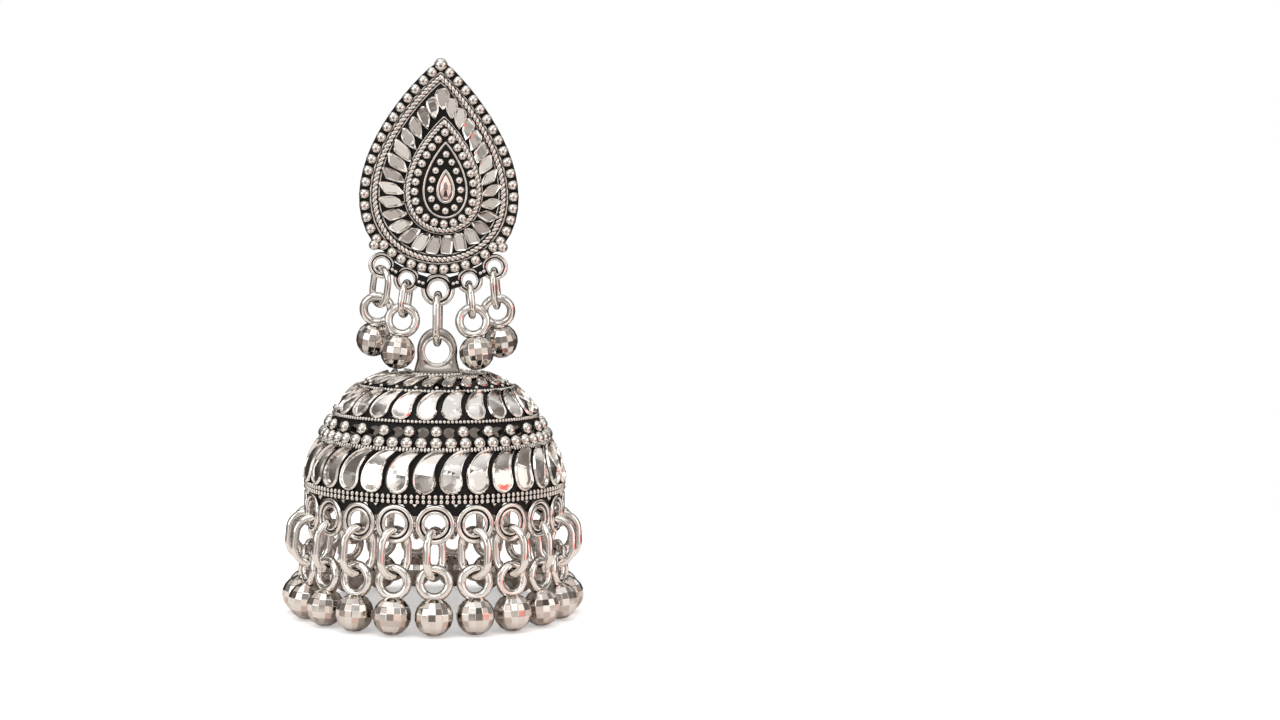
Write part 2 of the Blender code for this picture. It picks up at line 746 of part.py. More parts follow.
def build_fringe(collection, charm, link_material):
    link = ring_mesh("fringe_link", FRINGE_LINK_WIDTH, FRINGE_LINK_HEIGHT, FRINGE_LINK_WIRE)
    link.materials.append(link_material)
    splay = Matrix.Rotation(math.radians(FRINGE_SPLAY), 4, "X")
    for number, azimuth in enumerate(round_bell(FRINGE_DROPS), 1):
        place = fringe_loop_place(azimuth) @ Matrix.Translation((0, 0, -FRINGE_LOOP_RADIUS)) @ splay
        names = (f"fringe_link_{number:02d}", f"fringe_charm_{number:02d}")
        hang_drop(names, (link, charm), place, FRINGE_LOOP_WIRE, FRINGE_LINK_WIRE, FRINGE_LINK_HEIGHT, collection)


def main():
    clear_scene()
    pieces = new_collection("jhumka_earring")
    cast = silver("oxidised_silver", (0.55, 0.53, 0.50), 0.32)
    polished = silver("polished_silver", (0.80, 0.78, 0.75), 0.15)
    build_stud(pieces, cast)
    build_main_link(pieces, polished)
    build_bell(pieces, cast)
    charm = charm_mesh(polished)
    build_side_drops(pieces, charm, polished)
    build_fringe(pieces, charm, polished)


main()
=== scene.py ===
"""Looks of the jhumka earring: cast silver with grains and dark recesses, polished links and faceted balls.

Metres, +Z up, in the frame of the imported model: the front faces -Y, and the ear post's root is the origin.
"""

import random
from math import asin, copysign, cos, pi, radians, sin, sqrt
from typing import NamedTuple

import bmesh
import bpy
from mathutils import Matrix, Vector


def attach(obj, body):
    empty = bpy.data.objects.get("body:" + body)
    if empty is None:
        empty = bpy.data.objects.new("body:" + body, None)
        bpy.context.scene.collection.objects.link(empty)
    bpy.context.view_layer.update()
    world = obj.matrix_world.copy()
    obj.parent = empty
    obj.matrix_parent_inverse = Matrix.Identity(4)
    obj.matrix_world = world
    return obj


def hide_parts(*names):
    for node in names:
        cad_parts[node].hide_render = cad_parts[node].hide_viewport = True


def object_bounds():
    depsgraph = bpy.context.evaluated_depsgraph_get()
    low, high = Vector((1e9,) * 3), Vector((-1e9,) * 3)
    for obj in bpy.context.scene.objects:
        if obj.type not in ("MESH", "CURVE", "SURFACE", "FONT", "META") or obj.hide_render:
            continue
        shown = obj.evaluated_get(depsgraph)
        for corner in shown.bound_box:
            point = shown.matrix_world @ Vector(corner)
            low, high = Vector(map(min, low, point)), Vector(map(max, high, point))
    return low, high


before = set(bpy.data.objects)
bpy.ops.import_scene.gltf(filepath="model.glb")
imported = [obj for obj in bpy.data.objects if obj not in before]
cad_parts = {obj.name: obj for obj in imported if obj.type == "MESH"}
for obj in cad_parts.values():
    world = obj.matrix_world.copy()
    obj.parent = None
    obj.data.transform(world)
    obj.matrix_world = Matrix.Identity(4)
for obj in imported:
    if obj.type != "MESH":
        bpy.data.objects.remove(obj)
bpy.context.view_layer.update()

CAST = "oxidised_silver"
POLISHED = "polished_silver"

# Plaque, as in the CAD model
PLATE_THICKNESS = 0.0012
RIM_WIRE = 0.0008
BORDER_OFFSET = 0.00093
CENTRE_STEP = 0.0008
CENTRE_RIM_WIRE = 0.0008
LOOP_PLANE_Y = -PLATE_THICKNESS / 2
FRONT_Y = -PLATE_THICKNESS
RAISED_Y = FRONT_Y - CENTRE_STEP
TEARDROP_SHARPNESS = 0.85

# Plaque border: beads down both sides to a corner, then along an arc
SIDE_BEADS = 17
CORNER_HEIGHT = -0.01
CORNER_X = 0.00712
CORNER_Z = -0.01068
ARC_BEADS = 6
ARC_RADIUS = 0.00831
ARC_BOTTOM = -0.01327
ARC_END_X = 0.00606
BORDER_BEAD_RADIUS = 0.0006
TOP_BEAD_RADIUS = 0.00076
BORDER_MARGIN = 0.00058
ROPE_INSET = 0.00022
BACK_SHEET = 0.0005
BACK_MARGIN = 0.00004
BACK_EDGE = 0.00014
PLATE_EDGE = 0.00012
CENTRE_EDGE = 0.00005
CENTRE_SINK = 0.0002
RELIEF_LIFT = 0.0001

# Plaque relief; a rope is its wire's radius, its strands' radius and their pitch
RIM_ROPE = (0.00036, 0.0002, 0.0011)
RIM_ROPE_EDGE = 0.00046
CENTRE_ROPE = (0.00034, 0.00019, 0.001)
CENTRE_ROPE_EDGE = 0.00042
PETALS = 29
PETAL_WIDTH = 0.00152
TOP_PETAL_WIDTH = 0.0019
PETAL_LENGTH = 0.0024
PETAL_HEIGHT = 0.0005
PETAL_GAP = 0.00012
PETAL_HOOK = 0.00025
PETAL_SKEW = 0.00034
PETAL_FLOOR = 0.7
PETAL_TILT = 0.4
PETAL_TURN = 0.35
POINTED_PETALS = 5
INNER_BEADS = 24
INNER_BEAD_RADIUS = 0.00051
THIN_RIM_WIRE = 0.00028
CORE_BEADS = 14
CORE_BEAD_RADIUS = 0.00045
CORE_RIM_WIRE = 0.00036
CORE_HEIGHT = 0.0005
CORE_FACETS = 9
CORE_STEPS = ((0.0, 0.0), (0.3, 0.5), (0.7, 0.9), (1.0, 1.0))

# Cast loops under the plaque; their edges and groove are shares of the wire
LOOP_OUTER_EDGE = 0.265
LOOP_INNER_EDGE = 0.185
LOOP_GROOVE_INSET = 0.08
LOOP_GROOVE = 0.12
LOOP_STEPS = 40
SIDE_LOOP_RADIUS = 0.00114
SIDE_LOOP_WIRE = 0.00072
OUTER_LOOP_X = 0.00628
OUTER_LOOP_Z = -0.01294
INNER_LOOP_X = 0.00351
INNER_LOOP_Z = -0.01447
MAIN_LOOP_RADIUS = 0.001445
MAIN_LOOP_WIRE = 0.00091
MAIN_LOOP_Z = -0.01557
WEB_HALF_WIDTH = 0.00068
WEB_DEPTH = 0.0009
WEB_RISE = 0.0003
NUB_RADIUS = 0.00024
NUB_RISE = 0.0002

# Ear post
POST_RADIUS = 0.00045
POST_LENGTH = 0.0105
POST_TIP = 0.0002
POST_PAD_RADIUS = 0.0014
POST_PAD_STOPS = (-0.0002, 0.00018, 0.00036, 0.0006)

# Links and charms
LINK_GAP = 0.00008
SIDE_LINK_WIRE = 0.00072
SIDE_LINK_WIDTH = 0.0036
MAIN_LINK_WIRE = 0.0008
MAIN_LINK_WIDTH = 0.0042
MAIN_LINK_HEIGHT = 0.0063
MAIN_LINK_TURN = 84
FRINGE_LINK_WIRE = 0.00085
FRINGE_LINK_WIDTH = 0.0046
FRINGE_LINK_HEIGHT = 0.0059
CHARM_RING_RADIUS = 0.001525
CHARM_RING_WIRE = 0.00095
BALL_RADIUS = 0.00195
BALL_SEAT = 0.0004
BALL_GIRTH = 0.00206
SIDE_BALL_GIRTH = 0.00197
BALL_SIDES = 16
BALL_ROWS = 9
BALL_EDGE = 0.00004
CHARM_KINDS = 5
FRINGE_SPLAY = 5.0
OTHER_LINK_TWIST = 15
LINK_TWISTS = {
    "side_link_1": 36, "side_link_2": -16, "side_link_3": 5, "side_link_4": -10, "fringe_link_20": -20,
    "fringe_link_21": -30, "fringe_link_01": -26, "fringe_link_02": 30, "fringe_link_03": 18,
}

# Side drops: spread and backward lean in degrees, and the link's height
INNER_DROP = (7.3, -6.5, 0.0044)
OUTER_DROP = (7.0, 15.0, 0.0049)

# Bell
BAIL_RADIUS = 0.001825
BAIL_WIRE = 0.00085
BAIL_CREST = 0.00042
BAIL_RISE = 0.00256
BAIL_FOOT_DEPTH = 0.00085
BAIL_FOOT_SINK = 0.0001
BAIL_GRAINS_UP = -0.00015
DISC_LEAVES_DROP = 0.0015
DISC_RADIUS = 0.0053
BELL_WALL = 0.0009
COLLAR_RADIUS = 0.00615
COLLAR_EDGE = 0.00035
BAND_RADIUS = 0.01447
BAND_TOP_DEPTH = 0.0116
BAND_HEIGHT = 0.0017
MOUTH_DEPTH = BAND_TOP_DEPTH + BAND_HEIGHT
WALL_RADIUS = 0.0143
WALL_SINK = 0.0001
ROOF = 0.0004
CEILING = 0.0013
SHOULDER_TOP = (0.0086, 0.0014)
WAIST_TOP = (0.0113, 0.0044)
BULGE_TOP = (0.0127, 0.0074)
FRINGE_DROPS = 21
FRINGE_LOOP_RADIUS = 0.001535
FRINGE_LOOP_WIRE = 0.00087
FRINGE_LOOP_SET_IN = 0.00027
FRINGE_LOOP_SEAT = 0.0003
FRINGE_LOOP_SWELL = 0.00014
FRINGE_LOOP_FORWARD = 0.00012
FRINGE_WEB = ((-0.0015, 0.0006), (0.0015, 0.0006), (0.00035, -0.0008), (-0.00035, -0.0008))
WALL_CUT = 0.0004
CROWN_GAPS = 16

# Rows on the bell. A comma is its width, its length and the bend of its head and of its tip in degrees.
# Its steps are shares of the way out and of the height, with none where its facets set the height.
GRAIN_OUT = 0.0001
DISC_LEAVES = 20
DISC_COMMA = (0.0008, 0.0012, 20, 70)
CROWN_LEAVES = 22
CROWN_COMMA = (0.00115, 0.0026, 25, 70)
SHOULDER_PETALS = 25
SHOULDER_COMMA = (0.00215, 0.0035, 0, 84)
BULGE_PETALS = 31
BULGE_COMMA = (0.00245, 0.0044, -6, 84)
COMMA_STEPS = ((1.0, -0.3), (0.985, 0.6), (0.86, 1.0), (0.8, 0.97), (0.74, 0), (0.37, 0), (0.0, 0))
COMMA_CREASE = (-0.0006, 0.0004)
COMMA_SLOPE = (0.4, 1.5)
COMMA_TILT = (-0.12, 0.12)
WAIST_BEADS = 26
WAIST_UP = 0.0005
LOW_WAIST_BEADS = 50
LOW_WAIST_UP = -0.0008
FINE_RIBS = 210
BAND_RIBS = 144
WEDGE_CORNERS = ((-0.00042, 0.0), (0.00042, 0.0), (0.0, -0.00052))
WEDGE_STEPS = ((1.0, 0.0), (0.55, 0.0002), (0.0, 0.00024))

# Stage
CAMERA_LENS = 54.85
CAMERA_SPOT = (0.0, -0.2206, -0.0095)
CAMERA_PITCH = 3.54
CAMERA_YAW = -5.95
CAMERA_ROLL = 1.1
LIGHT_TARGET = (0.0, 0.0, -0.022)
FLOOR_RADIUS = 0.16
FLOOR_GAP = 0.0001
FLOOR_GLOW = 0.4
FLOOR_FADE = (0.065, 0.085)

# The room that the metal mirrors: colours by height, of its patches, and by distance to either side
ROOM_LEVELS = (
    (0.0, (0.62, 0.54, 0.49)), (0.42, (0.55, 0.47, 0.43)), (0.49, (0.5, 0.46, 0.43)),
    (0.56, (0.55, 0.53, 0.51)), (0.63, (0.85, 0.83, 0.8)), (0.72, (0.3, 0.28, 0.27)),
    (0.84, (0.14, 0.13, 0.13)), (0.9, (0.9, 0.9, 0.9)), (0.93, (1.5, 1.5, 1.5)),
)
ROOM_PATCHES = (
    (0.0, (0.02, 0.018, 0.018)), (0.3, (0.06, 0.05, 0.045)), (0.36, (0.28, 0.23, 0.2)),
    (0.58, (0.5, 0.44, 0.4)), (0.64, (1.1, 1.08, 1.05)), (1.0, (1.8, 1.8, 1.8)),
)
ROOM_STRIPS = (
    (0.0, (0.78, 0.74, 0.7)), (0.19, (0.66, 0.61, 0.57)), (0.28, (0.1, 0.09, 0.085)),
    (0.42, (0.14, 0.12, 0.11)), (0.48, (1.5, 1.47, 1.43)), (0.68, (1.5, 1.47, 1.43)),
    (0.75, (0.2, 0.17, 0.16)), (1.0, (0.12, 0.1, 0.1)),
)
REAR_DIRECTION = (0.0, 1.0, -0.6)
REAR_WALL = (0.06, 0.052, 0.048)
SPOT_DIRECTION = (0.0, -0.88, -0.47)
DARK_SPOT = (0.07, 0.055, 0.048)

# How fine the round forms are
WIRE_SIDES = 14
RING_STEPS = 48
BEAD_SIDES = 14
BEAD_ROWS = 8
GRAIN_SIDES = 8
GRAIN_ROWS = 5
BELL_STEPS = 210

chance = random.Random(7)


def offset(distances):
    return Matrix.Translation(distances)


def rotation(degrees, axis):
    return Matrix.Rotation(radians(degrees), 4, axis)


def polar(radius, angle, z=0.0):
    return Vector((radius * cos(angle), radius * sin(angle), z))


def angles(count, start=0.0):
    """Angles at even steps round a circle."""
    return [2 * pi * (index + start) / count for index in range(count)]


class Shape:
    """Points and faces of one piece while it is put together."""

    def __init__(self):
        self.points = []
        self.faces = []
        self.smooth = []

    def grid(self, rows, loop_rows=False, caps=False, smooth=True):
        """A skin over closed rows of points; caps close the first and the last row."""
        first = len(self.points)
        wide = len(rows[0])
        tall = len(rows)
        for row in rows:
            self.points.extend(row)
        for row in range(tall if loop_rows else tall - 1):
            here = first + row * wide
            there = first + (row + 1) % tall * wide
            for column in range(wide):
                beside = (column + 1) % wide
                self.faces.append((here + column, here + beside, there + beside, there + column))
                self.smooth.append(smooth)
        if caps:
            self.faces.append(tuple(range(first + wide - 1, first - 1, -1)))
            self.faces.append(tuple(range(first + (tall - 1) * wide, first + tall * wide)))
            self.smooth.extend((smooth, smooth))

    def stamp(self, other, place):
        """Another shape's copy, moved by a matrix or by a function of a point."""
        first = len(self.points)
        move = place if callable(place) else place.__matmul__
        self.points.extend(move(Vector(point)) for point in other.points)
        self.faces.extend(tuple(first + corner for corner in face) for face in other.faces)
        self.smooth.extend(other.smooth)

    def mesh(self, name, weld=2e-7):
        """The finished mesh, its doubled points welded and its faces turned outward."""
        mesh = bpy.data.meshes.new(name)
        mesh.from_pydata([tuple(point) for point in self.points], [], self.faces)
        mesh.polygons.foreach_set("use_smooth", self.smooth)
        bm = bmesh.new()
        bm.from_mesh(mesh)
        bmesh.ops.remove_doubles(bm, verts=bm.verts, dist=weld)
        bmesh.ops.dissolve_degenerate(bm, edges=bm.edges, dist=weld)
        bmesh.ops.recalc_face_normals(bm, faces=bm.faces)
        bm.to_mesh(mesh)
        bm.free()
        return mesh


def placed(name, data):
    """A new object in the scene."""
    obj = bpy.data.objects.new(name, data)
    bpy.context.scene.collection.objects.link(obj)
    return obj


def piece(name, mesh, material, body, slot, *nodes):
    """A finished piece that rides on a body and stands for CAD nodes."""
    mesh.materials.clear()
    mesh.materials.append(material)
    obj = placed(name, mesh)
    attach(obj, body)
    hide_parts(*nodes)


def stud_piece(name, shape, material):
    piece(name, shape.mesh(name), material, "stud", CAST, "stud_plaque")


def bell_piece(name, shape, material):
    piece(name, shape.mesh(name), material, "bell", CAST, "bell")


def wire(shape, path, radius, sides=WIRE_SIDES, closed=True):
    """A round wire along a path; the radius is a number or a list with one for each point."""
    count = len(path)
    side = None
    rows = []
    for index, point in enumerate(path):
        before = path[index - 1] if closed or index > 0 else point
        after = path[(index + 1) % count] if closed or index < count - 1 else point
        ahead = (after - before).normalized()
        if side is None:
            side = ahead.orthogonal().normalized()
        side = (side - ahead * side.dot(ahead)).normalized()
        up = ahead.cross(side)
        size = radius[index] if isinstance(radius, list) else radius
        rows.append([point + (side * cos(turn) + up * sin(turn)) * size for turn in angles(sides)])
    if closed:
        rows.append(match_turn(rows[0], rows[-1]))
    shape.grid(rows, caps=not closed)


def match_turn(first, last):
    """The first row again, with its points in the order that fits the last row best."""
    count = len(first)
    turn = min(range(count), key=lambda step: (first[step] - last[0]).length)
    return [first[(turn + step) % count] for step in range(count)]


def twisted(shape, path, wire_radius, strand_radius, pitch):
    """Two strands twisted round each other along a closed path in an XZ plane."""
    turns = round(lengths(path)[-1] / pitch)
    fine = evenly(path, turns * 10)
    count = len(fine)
    for strand in (0, 1):
        line = []
        for index, point in enumerate(fine):
            ahead = (fine[(index + 1) % count] - fine[index - 1]).normalized()
            across = ahead.cross(Vector((0, 1, 0)))
            angle = 2 * pi * turns * index / count + pi * strand
            swing = across * cos(angle) + Vector((0, -1, 0)) * sin(angle)
            line.append(point + swing * (wire_radius - strand_radius))
        wire(shape, line, strand_radius, sides=7)


def lengths(path, closed=True):
    """Running lengths along a path."""
    runs = [0.0]
    for before, after in zip(path, path[1:] + (path[:1] if closed else [])):
        runs.append(runs[-1] + (after - before).length)
    return runs


def evenly(path, count, closed=True):
    """Points at even distances along a path; an open one keeps both its ends."""
    runs = lengths(path, closed)
    stops = path + path[:1] if closed else path
    gaps = count if closed else count - 1
    points = []
    at = 0
    for index in range(count):
        goal = runs[-1] * index / gaps
        while at < len(runs) - 2 and runs[at + 1] < goal:
            at += 1
        share = (goal - runs[at]) / (runs[at + 1] - runs[at])
        points.append(stops[at].lerp(stops[at + 1], min(share, 1.0)))
    return points


def ball(radius, sides, rows, smooth=True):
    """A round ball made of rows of faces, with its poles on Z."""
    shape = Shape()
    rings = []
    for row in range(rows + 1):
        tilt = pi * row / rows
        rings.append([polar(radius * sin(tilt), turn, radius * cos(tilt)) for turn in angles(sides)])
    shape.grid(rings, smooth=smooth)
    return shape


def oval(width, height, gauge, count=RING_STEPS):
    """Middle line of a wire link, upright in the XZ plane."""
    radius = (width - gauge) / 2
    rise = (height - width) / 2
    path = []
    for angle in angles(count, 0.5):
        lift = copysign(rise, sin(angle))
        path.append(Vector((radius * cos(angle), 0.0, radius * sin(angle) + lift)))
    return path


def circle(radius, count=RING_STEPS):
    return oval(2 * radius, 2 * radius, 0.0, count)


class Teardrop(NamedTuple):
    """A teardrop outline in the XZ plane with its point up."""

    half_width: float
    top: float
    bottom: float
    apex: float
    shift: float = 0.0

    def inset(self, distance):
        """The same outline further in; its pointed end moves by more than its sides do."""
        sizes = (self.half_width - distance, self.top - distance * self.apex, self.bottom - distance)
        return Teardrop(*sizes, self.apex, self.shift)

    def path(self, y=0.0, steps=360):
        """Points round the outline, from its point and clockwise from the front."""
        bulges = [sin(turn) * sin(turn / 2) ** TEARDROP_SHARPNESS for turn in angles(steps)]
        widest = max(bulges)
        half_height = (self.top + self.bottom) / 2
        middle = (self.top - self.bottom) / 2
        return [
            Vector((self.shift + bulge * self.half_width / widest, y, middle + cos(turn) * half_height))
            for bulge, turn in zip(bulges, angles(steps))
        ]


# Half width, reach up and down, how much faster the point moves in, and shift to the right
RIM = Teardrop(0.00735, 0.0083, 0.0124, 1.2)
CENTRE = Teardrop(0.0039, 0.00305, 0.0089, 1.5, 0.00045)
INNER_ROW = Teardrop(0.00328, 0.0019, 0.0082, 1.5, 0.00055)
THIN_RIM = Teardrop(0.00238, 0.0008, 0.0075, 1.5, 0.00065)
CORE_ROW = Teardrop(0.00166, -0.0005, 0.00675, 1.5, 0.0007)
CORE_RIM = Teardrop(0.00088, -0.0023, 0.0058, 1.5, 0.0007)


def border_spots():
    """Middles of the border beads, from the top one and clockwise from the front."""
    side = [point for point in RIM.inset(-BORDER_OFFSET).path() if point.x >= 0 and point.z > CORNER_HEIGHT]
    right = evenly(side, SIDE_BEADS + 1, closed=False)[1:]
    right.append(Vector((CORNER_X, 0.0, CORNER_Z)))
    sweep = asin(ARC_END_X / ARC_RADIUS)
    for index in range(ARC_BEADS):
        angle = sweep * (ARC_BEADS - 0.5 - index) / (ARC_BEADS - 0.5)
        drop = ARC_RADIUS * (1 - cos(angle))
        right.append(Vector((ARC_RADIUS * sin(angle), 0.0, ARC_BOTTOM + drop)))
    left = [Vector((-point.x, 0.0, point.z)) for point in reversed(right)]
    return [side[0]] + right + left


def outward(path, distance):
    """A closed path in an XZ plane moved out by a distance."""
    count = len(path)
    moved = []
    for index, point in enumerate(path):
        ahead = (path[(index + 1) % count] - path[index - 1]).normalized()
        moved.append(point + Vector((-ahead.z, 0.0, ahead.x)) * distance)
    return moved


def slab(shape, outline, front, back, edge):
    """A flat plate with softened edges, from an outline that runs clockwise from the front."""
    inner = outward(outline, -edge)
    middle = sum(outline, Vector()) / len(outline)
    sections = [(inner, back), (outline, back - edge), (outline, front + edge), (inner, front)]
    rows = [[Vector((point.x, y, point.z)) for point in ring] for ring, y in sections]
    rows.insert(0, [Vector((middle.x, back, middle.z))] * len(outline))
    rows.append([Vector((middle.x, front, middle.z))] * len(outline))
    shape.grid(rows, smooth=False)


def beads(shape, spots, radius, y):
    """Round beads half sunk into a flat face."""
    unit = ball(radius, BEAD_SIDES, BEAD_ROWS)
    for spot in spots:
        shape.stamp(unit, offset((spot.x, y, spot.z)) @ rotation(90, "X"))


# Stations along a petal: share of the way, share of the width, share of the height
BLUNT_PETAL = (
    (0.0, 0.3, 0.4), (0.04, 0.52, 0.85), (0.15, 0.78, 1.0), (0.32, 0.96, 1.0), (0.55, 1.0, 1.0),
    (0.78, 1.0, 1.0), (0.9, 0.92, 1.0), (0.97, 0.7, 0.85), (1.0, 0.5, 0.4),
)
POINTED_PETAL = (
    (0.0, 0.05, 0.4), (0.04, 0.16, 0.85), (0.16, 0.46, 1.0), (0.34, 0.82, 1.0), (0.55, 1.0, 1.0),
    (0.76, 0.96, 1.0), (0.9, 0.72, 1.0), (0.97, 0.42, 0.85), (1.0, 0.2, 0.4),
)


def leaf(shape, start, end, width, hook, tilt, turn, pointed):
    """A mirror petal with a raised rim on a face that looks to -Y; its inner end hooks downward."""
    run = end - start
    across = run.normalized().cross(Vector((0, 1, 0)))
    section = (
        (-1.0, -0.2), (-0.97, 0.6), (-0.9, 1.0), (-0.76, 1.0), (-0.56, PETAL_FLOOR),
        (0.56, PETAL_FLOOR), (0.76, 1.0), (0.9, 1.0), (0.97, 0.6), (1.0, -0.2),
    )
    rows = []
    for share, swell, tall in POINTED_PETAL if pointed else BLUNT_PETAL:
        middle = start + run * share + Vector((0, 0, -hook)) * (1 - share) ** 2
        on_rim = share < 0.1 or share > 0.93
        row = []
        for wide, rise in section:
            rise = 1.0 if on_rim and rise == PETAL_FLOOR else rise
            lift = PETAL_HEIGHT * rise * tall * (1 + tilt * wide - turn * (share - 0.5))
            slip = run.normalized() * PETAL_SKEW * across.z * wide
            row.append(middle + across * width / 2 * swell * wide + slip + Vector((0, -lift, 0)))
        rows.append(row)
    shape.grid(rows, caps=True, smooth=False)


def plaque_petals():
    """Mirror petals between the rope and the raised centre, one at the top and the rest down both sides."""
    shape = Shape()
    outer = evenly(RIM.inset(RIM_WIRE * 0.75 + PETAL_GAP).path(FRONT_Y), PETALS)
    inner = evenly(CENTRE.inset(-CENTRE_RIM_WIRE / 2 - PETAL_GAP).path(FRONT_Y), PETALS)
    for index, (start, end) in enumerate(zip(inner, outer)):
        middle = (start + end) / 2
        reach = (end - start).normalized() * min((end - start).length, PETAL_LENGTH) / 2
        hook = PETAL_HOOK * abs(reach.x) / reach.length
        width = PETAL_WIDTH if index else TOP_PETAL_WIDTH
        tilt = chance.uniform(-PETAL_TILT, PETAL_TILT)
        turn = chance.uniform(-PETAL_TURN, PETAL_TURN)
        pointed = min(index, PETALS - index) < POINTED_PETALS
        leaf(shape, middle - reach, middle + reach, width, hook, tilt, turn, pointed)
    return shape


def plaque_loops():
    """Centre, ring radius and wire of each cast loop, from left to right."""
    side = (SIDE_LOOP_RADIUS, SIDE_LOOP_WIRE)
    loops = (
        (-OUTER_LOOP_X, OUTER_LOOP_Z, side), (-INNER_LOOP_X, INNER_LOOP_Z, side),
        (0.0, MAIN_LOOP_Z, (MAIN_LOOP_RADIUS, MAIN_LOOP_WIRE)),
        (INNER_LOOP_X, INNER_LOOP_Z, side), (OUTER_LOOP_X, OUTER_LOOP_Z, side),
    )
    return [(Vector((x, LOOP_PLANE_Y, z)), *sizes) for x, z, sizes in loops]


def cast_loop(radius, gauge):
    """The thick outer and the thin inner edge of a cast ring."""
    shape = Shape()
    outer = gauge * LOOP_OUTER_EDGE
    inner = gauge * LOOP_INNER_EDGE
    wire(shape, circle(radius + gauge / 2 - outer, LOOP_STEPS), outer, sides=10)
    wire(shape, circle(radius - gauge / 2 + inner, LOOP_STEPS), inner, sides=10)
    return shape


def loop_groove(radius, gauge):
    """The dark groove between the two edges of a cast ring."""
    shape = Shape()
    line = circle(radius - gauge * LOOP_GROOVE_INSET, LOOP_STEPS)
    wire(shape, line, gauge * LOOP_GROOVE, sides=8)
    return shape


def web(shape, start, end):
    """A dark web of the casting between two loops."""
    along = (end - start).normalized()
    up = Vector((-along.z, 0, along.x))
    up = up if up.z > 0 else -up
    low = up * (WEB_RISE - WEB_HALF_WIDTH)
    high = up * (WEB_RISE + WEB_HALF_WIDTH)
    corners = (start + low, end + low, end + high, start + high)
    depths = (-WEB_DEPTH / 2, WEB_DEPTH / 2)
    rows = [[corner + Vector((0, depth, 0)) for corner in corners] for depth in depths]
    shape.grid(rows, caps=True, smooth=False)


def build_plaque(cast, mirror, sheet, black, core_look):
    spots = border_spots()
    plate = Shape()
    slab(plate, outward(spots, BORDER_MARGIN), FRONT_Y, -BACK_SHEET / 2, PLATE_EDGE)
    slab(plate, CENTRE.path(steps=72), RAISED_Y, FRONT_Y + CENTRE_SINK, CENTRE_EDGE)
    stud_piece("plaque_plate", plate, black)
    back = Shape()
    slab(back, outward(spots, BORDER_MARGIN + BACK_MARGIN), -BACK_SHEET, 0.0, BACK_EDGE)
    stud_piece("plaque_back", back, sheet)
    border = Shape()
    beads(border, spots[:1], TOP_BEAD_RADIUS, FRONT_Y)
    beads(border, spots[1:], BORDER_BEAD_RADIUS, FRONT_Y - RELIEF_LIFT)
    stud_piece("plaque_border_beads", border, cast)

    ropes = Shape()
    twisted(ropes, RIM.inset(ROPE_INSET).path(FRONT_Y - RELIEF_LIFT), *RIM_ROPE)
    twisted(ropes, CENTRE.path(RAISED_Y + RELIEF_LIFT), *CENTRE_ROPE)
    wire(ropes, RIM.inset(ROPE_INSET - RIM_ROPE_EDGE).path(FRONT_Y, 180), 0.00013, sides=8)
    wire(ropes, RIM.inset(ROPE_INSET + RIM_ROPE_EDGE).path(FRONT_Y, 180), 0.0001, sides=8)
    wire(ropes, CENTRE.inset(-CENTRE_ROPE_EDGE).path(FRONT_Y, 120), 0.00011, sides=8)
    stud_piece("plaque_ropes", ropes, cast)
    stud_piece("plaque_petals", plaque_petals(), mirror)

    inner = Shape()
    beads(inner, evenly(INNER_ROW.path(), INNER_BEADS), INNER_BEAD_RADIUS, RAISED_Y)
    beads(inner, evenly(CORE_ROW.path(), CORE_BEADS), CORE_BEAD_RADIUS, RAISED_Y)
    wire(inner, THIN_RIM.path(RAISED_Y, 72), THIN_RIM_WIRE / 2, sides=8)
    wire(inner, CORE_RIM.path(RAISED_Y - RELIEF_LIFT, 60), CORE_RIM_WIRE / 2, sides=10)
    stud_piece("plaque_centre_beads", inner, cast)
    core = Shape()
    middle = Vector((CORE_RIM.shift, RAISED_Y, (CORE_RIM.top - CORE_RIM.bottom) / 2))
    outline = CORE_RIM.path(RAISED_Y, CORE_FACETS)
    core.grid([
        [Vector((0, -CORE_HEIGHT * rise, 0)) + point.lerp(middle, share) for point in outline]
        for share, rise in CORE_STEPS
    ], smooth=False)
    stud_piece("plaque_core", core, core_look)

    loops = Shape()
    webs = Shape()
    rings = plaque_loops()
    for centre, radius, gauge in rings:
        loops.stamp(cast_loop(radius, gauge), offset(centre))
        webs.stamp(loop_groove(radius, gauge), offset(centre))
    nub = ball(NUB_RADIUS, 10, 6)
    for (centre, radius, _), (following, next_radius, _) in zip(rings, rings[1:]):
        along = (following - centre).normalized()
        start = centre + along * radius
        web(webs, start, following - along * next_radius)
        middle = (start + following - along * next_radius) / 2
        for shift in (-1, 1):
            spot = middle + along * NUB_RADIUS * 0.9 * shift + Vector((0, -WEB_DEPTH / 2, NUB_RISE))
            loops.stamp(nub, offset(spot))
    stud_piece("plaque_loops", loops, mirror)
    stud_piece("plaque_webs", webs, black)


def build_post(look):
    post = Shape()
    stops = (0.0, POST_LENGTH * 0.5, POST_LENGTH - POST_TIP, POST_LENGTH - POST_TIP * 0.3, POST_LENGTH)
    sizes = [POST_RADIUS * share for share in (1.0, 1.0, 1.0, 0.8, 0.45)]
    pad_sizes = [POST_PAD_RADIUS, POST_PAD_RADIUS, POST_PAD_RADIUS * 0.7, POST_RADIUS]
    for depths, widths, sides in ((stops, sizes, 20), (POST_PAD_STOPS, pad_sizes, 24)):
        wire(post, [Vector((0.0, depth, 0.0)) for depth in depths], widths, sides, closed=False)
    stud_piece("ear_post", post, look)


def bearing(gauge, other_wire):
    """Distance between the middles of two wires where one hangs on the other."""
    return (gauge + other_wire) / 2 + LINK_GAP


def link_mesh(name, width, height, gauge):
    shape = Shape()
    wire(shape, oval(width, height, gauge), gauge / 2)
    return shape.mesh(name)


def ball_drop():
    """How far a ball's centre lies under its ring's centre."""
    return CHARM_RING_RADIUS + CHARM_RING_WIRE / 2 + BALL_RADIUS - BALL_SEAT


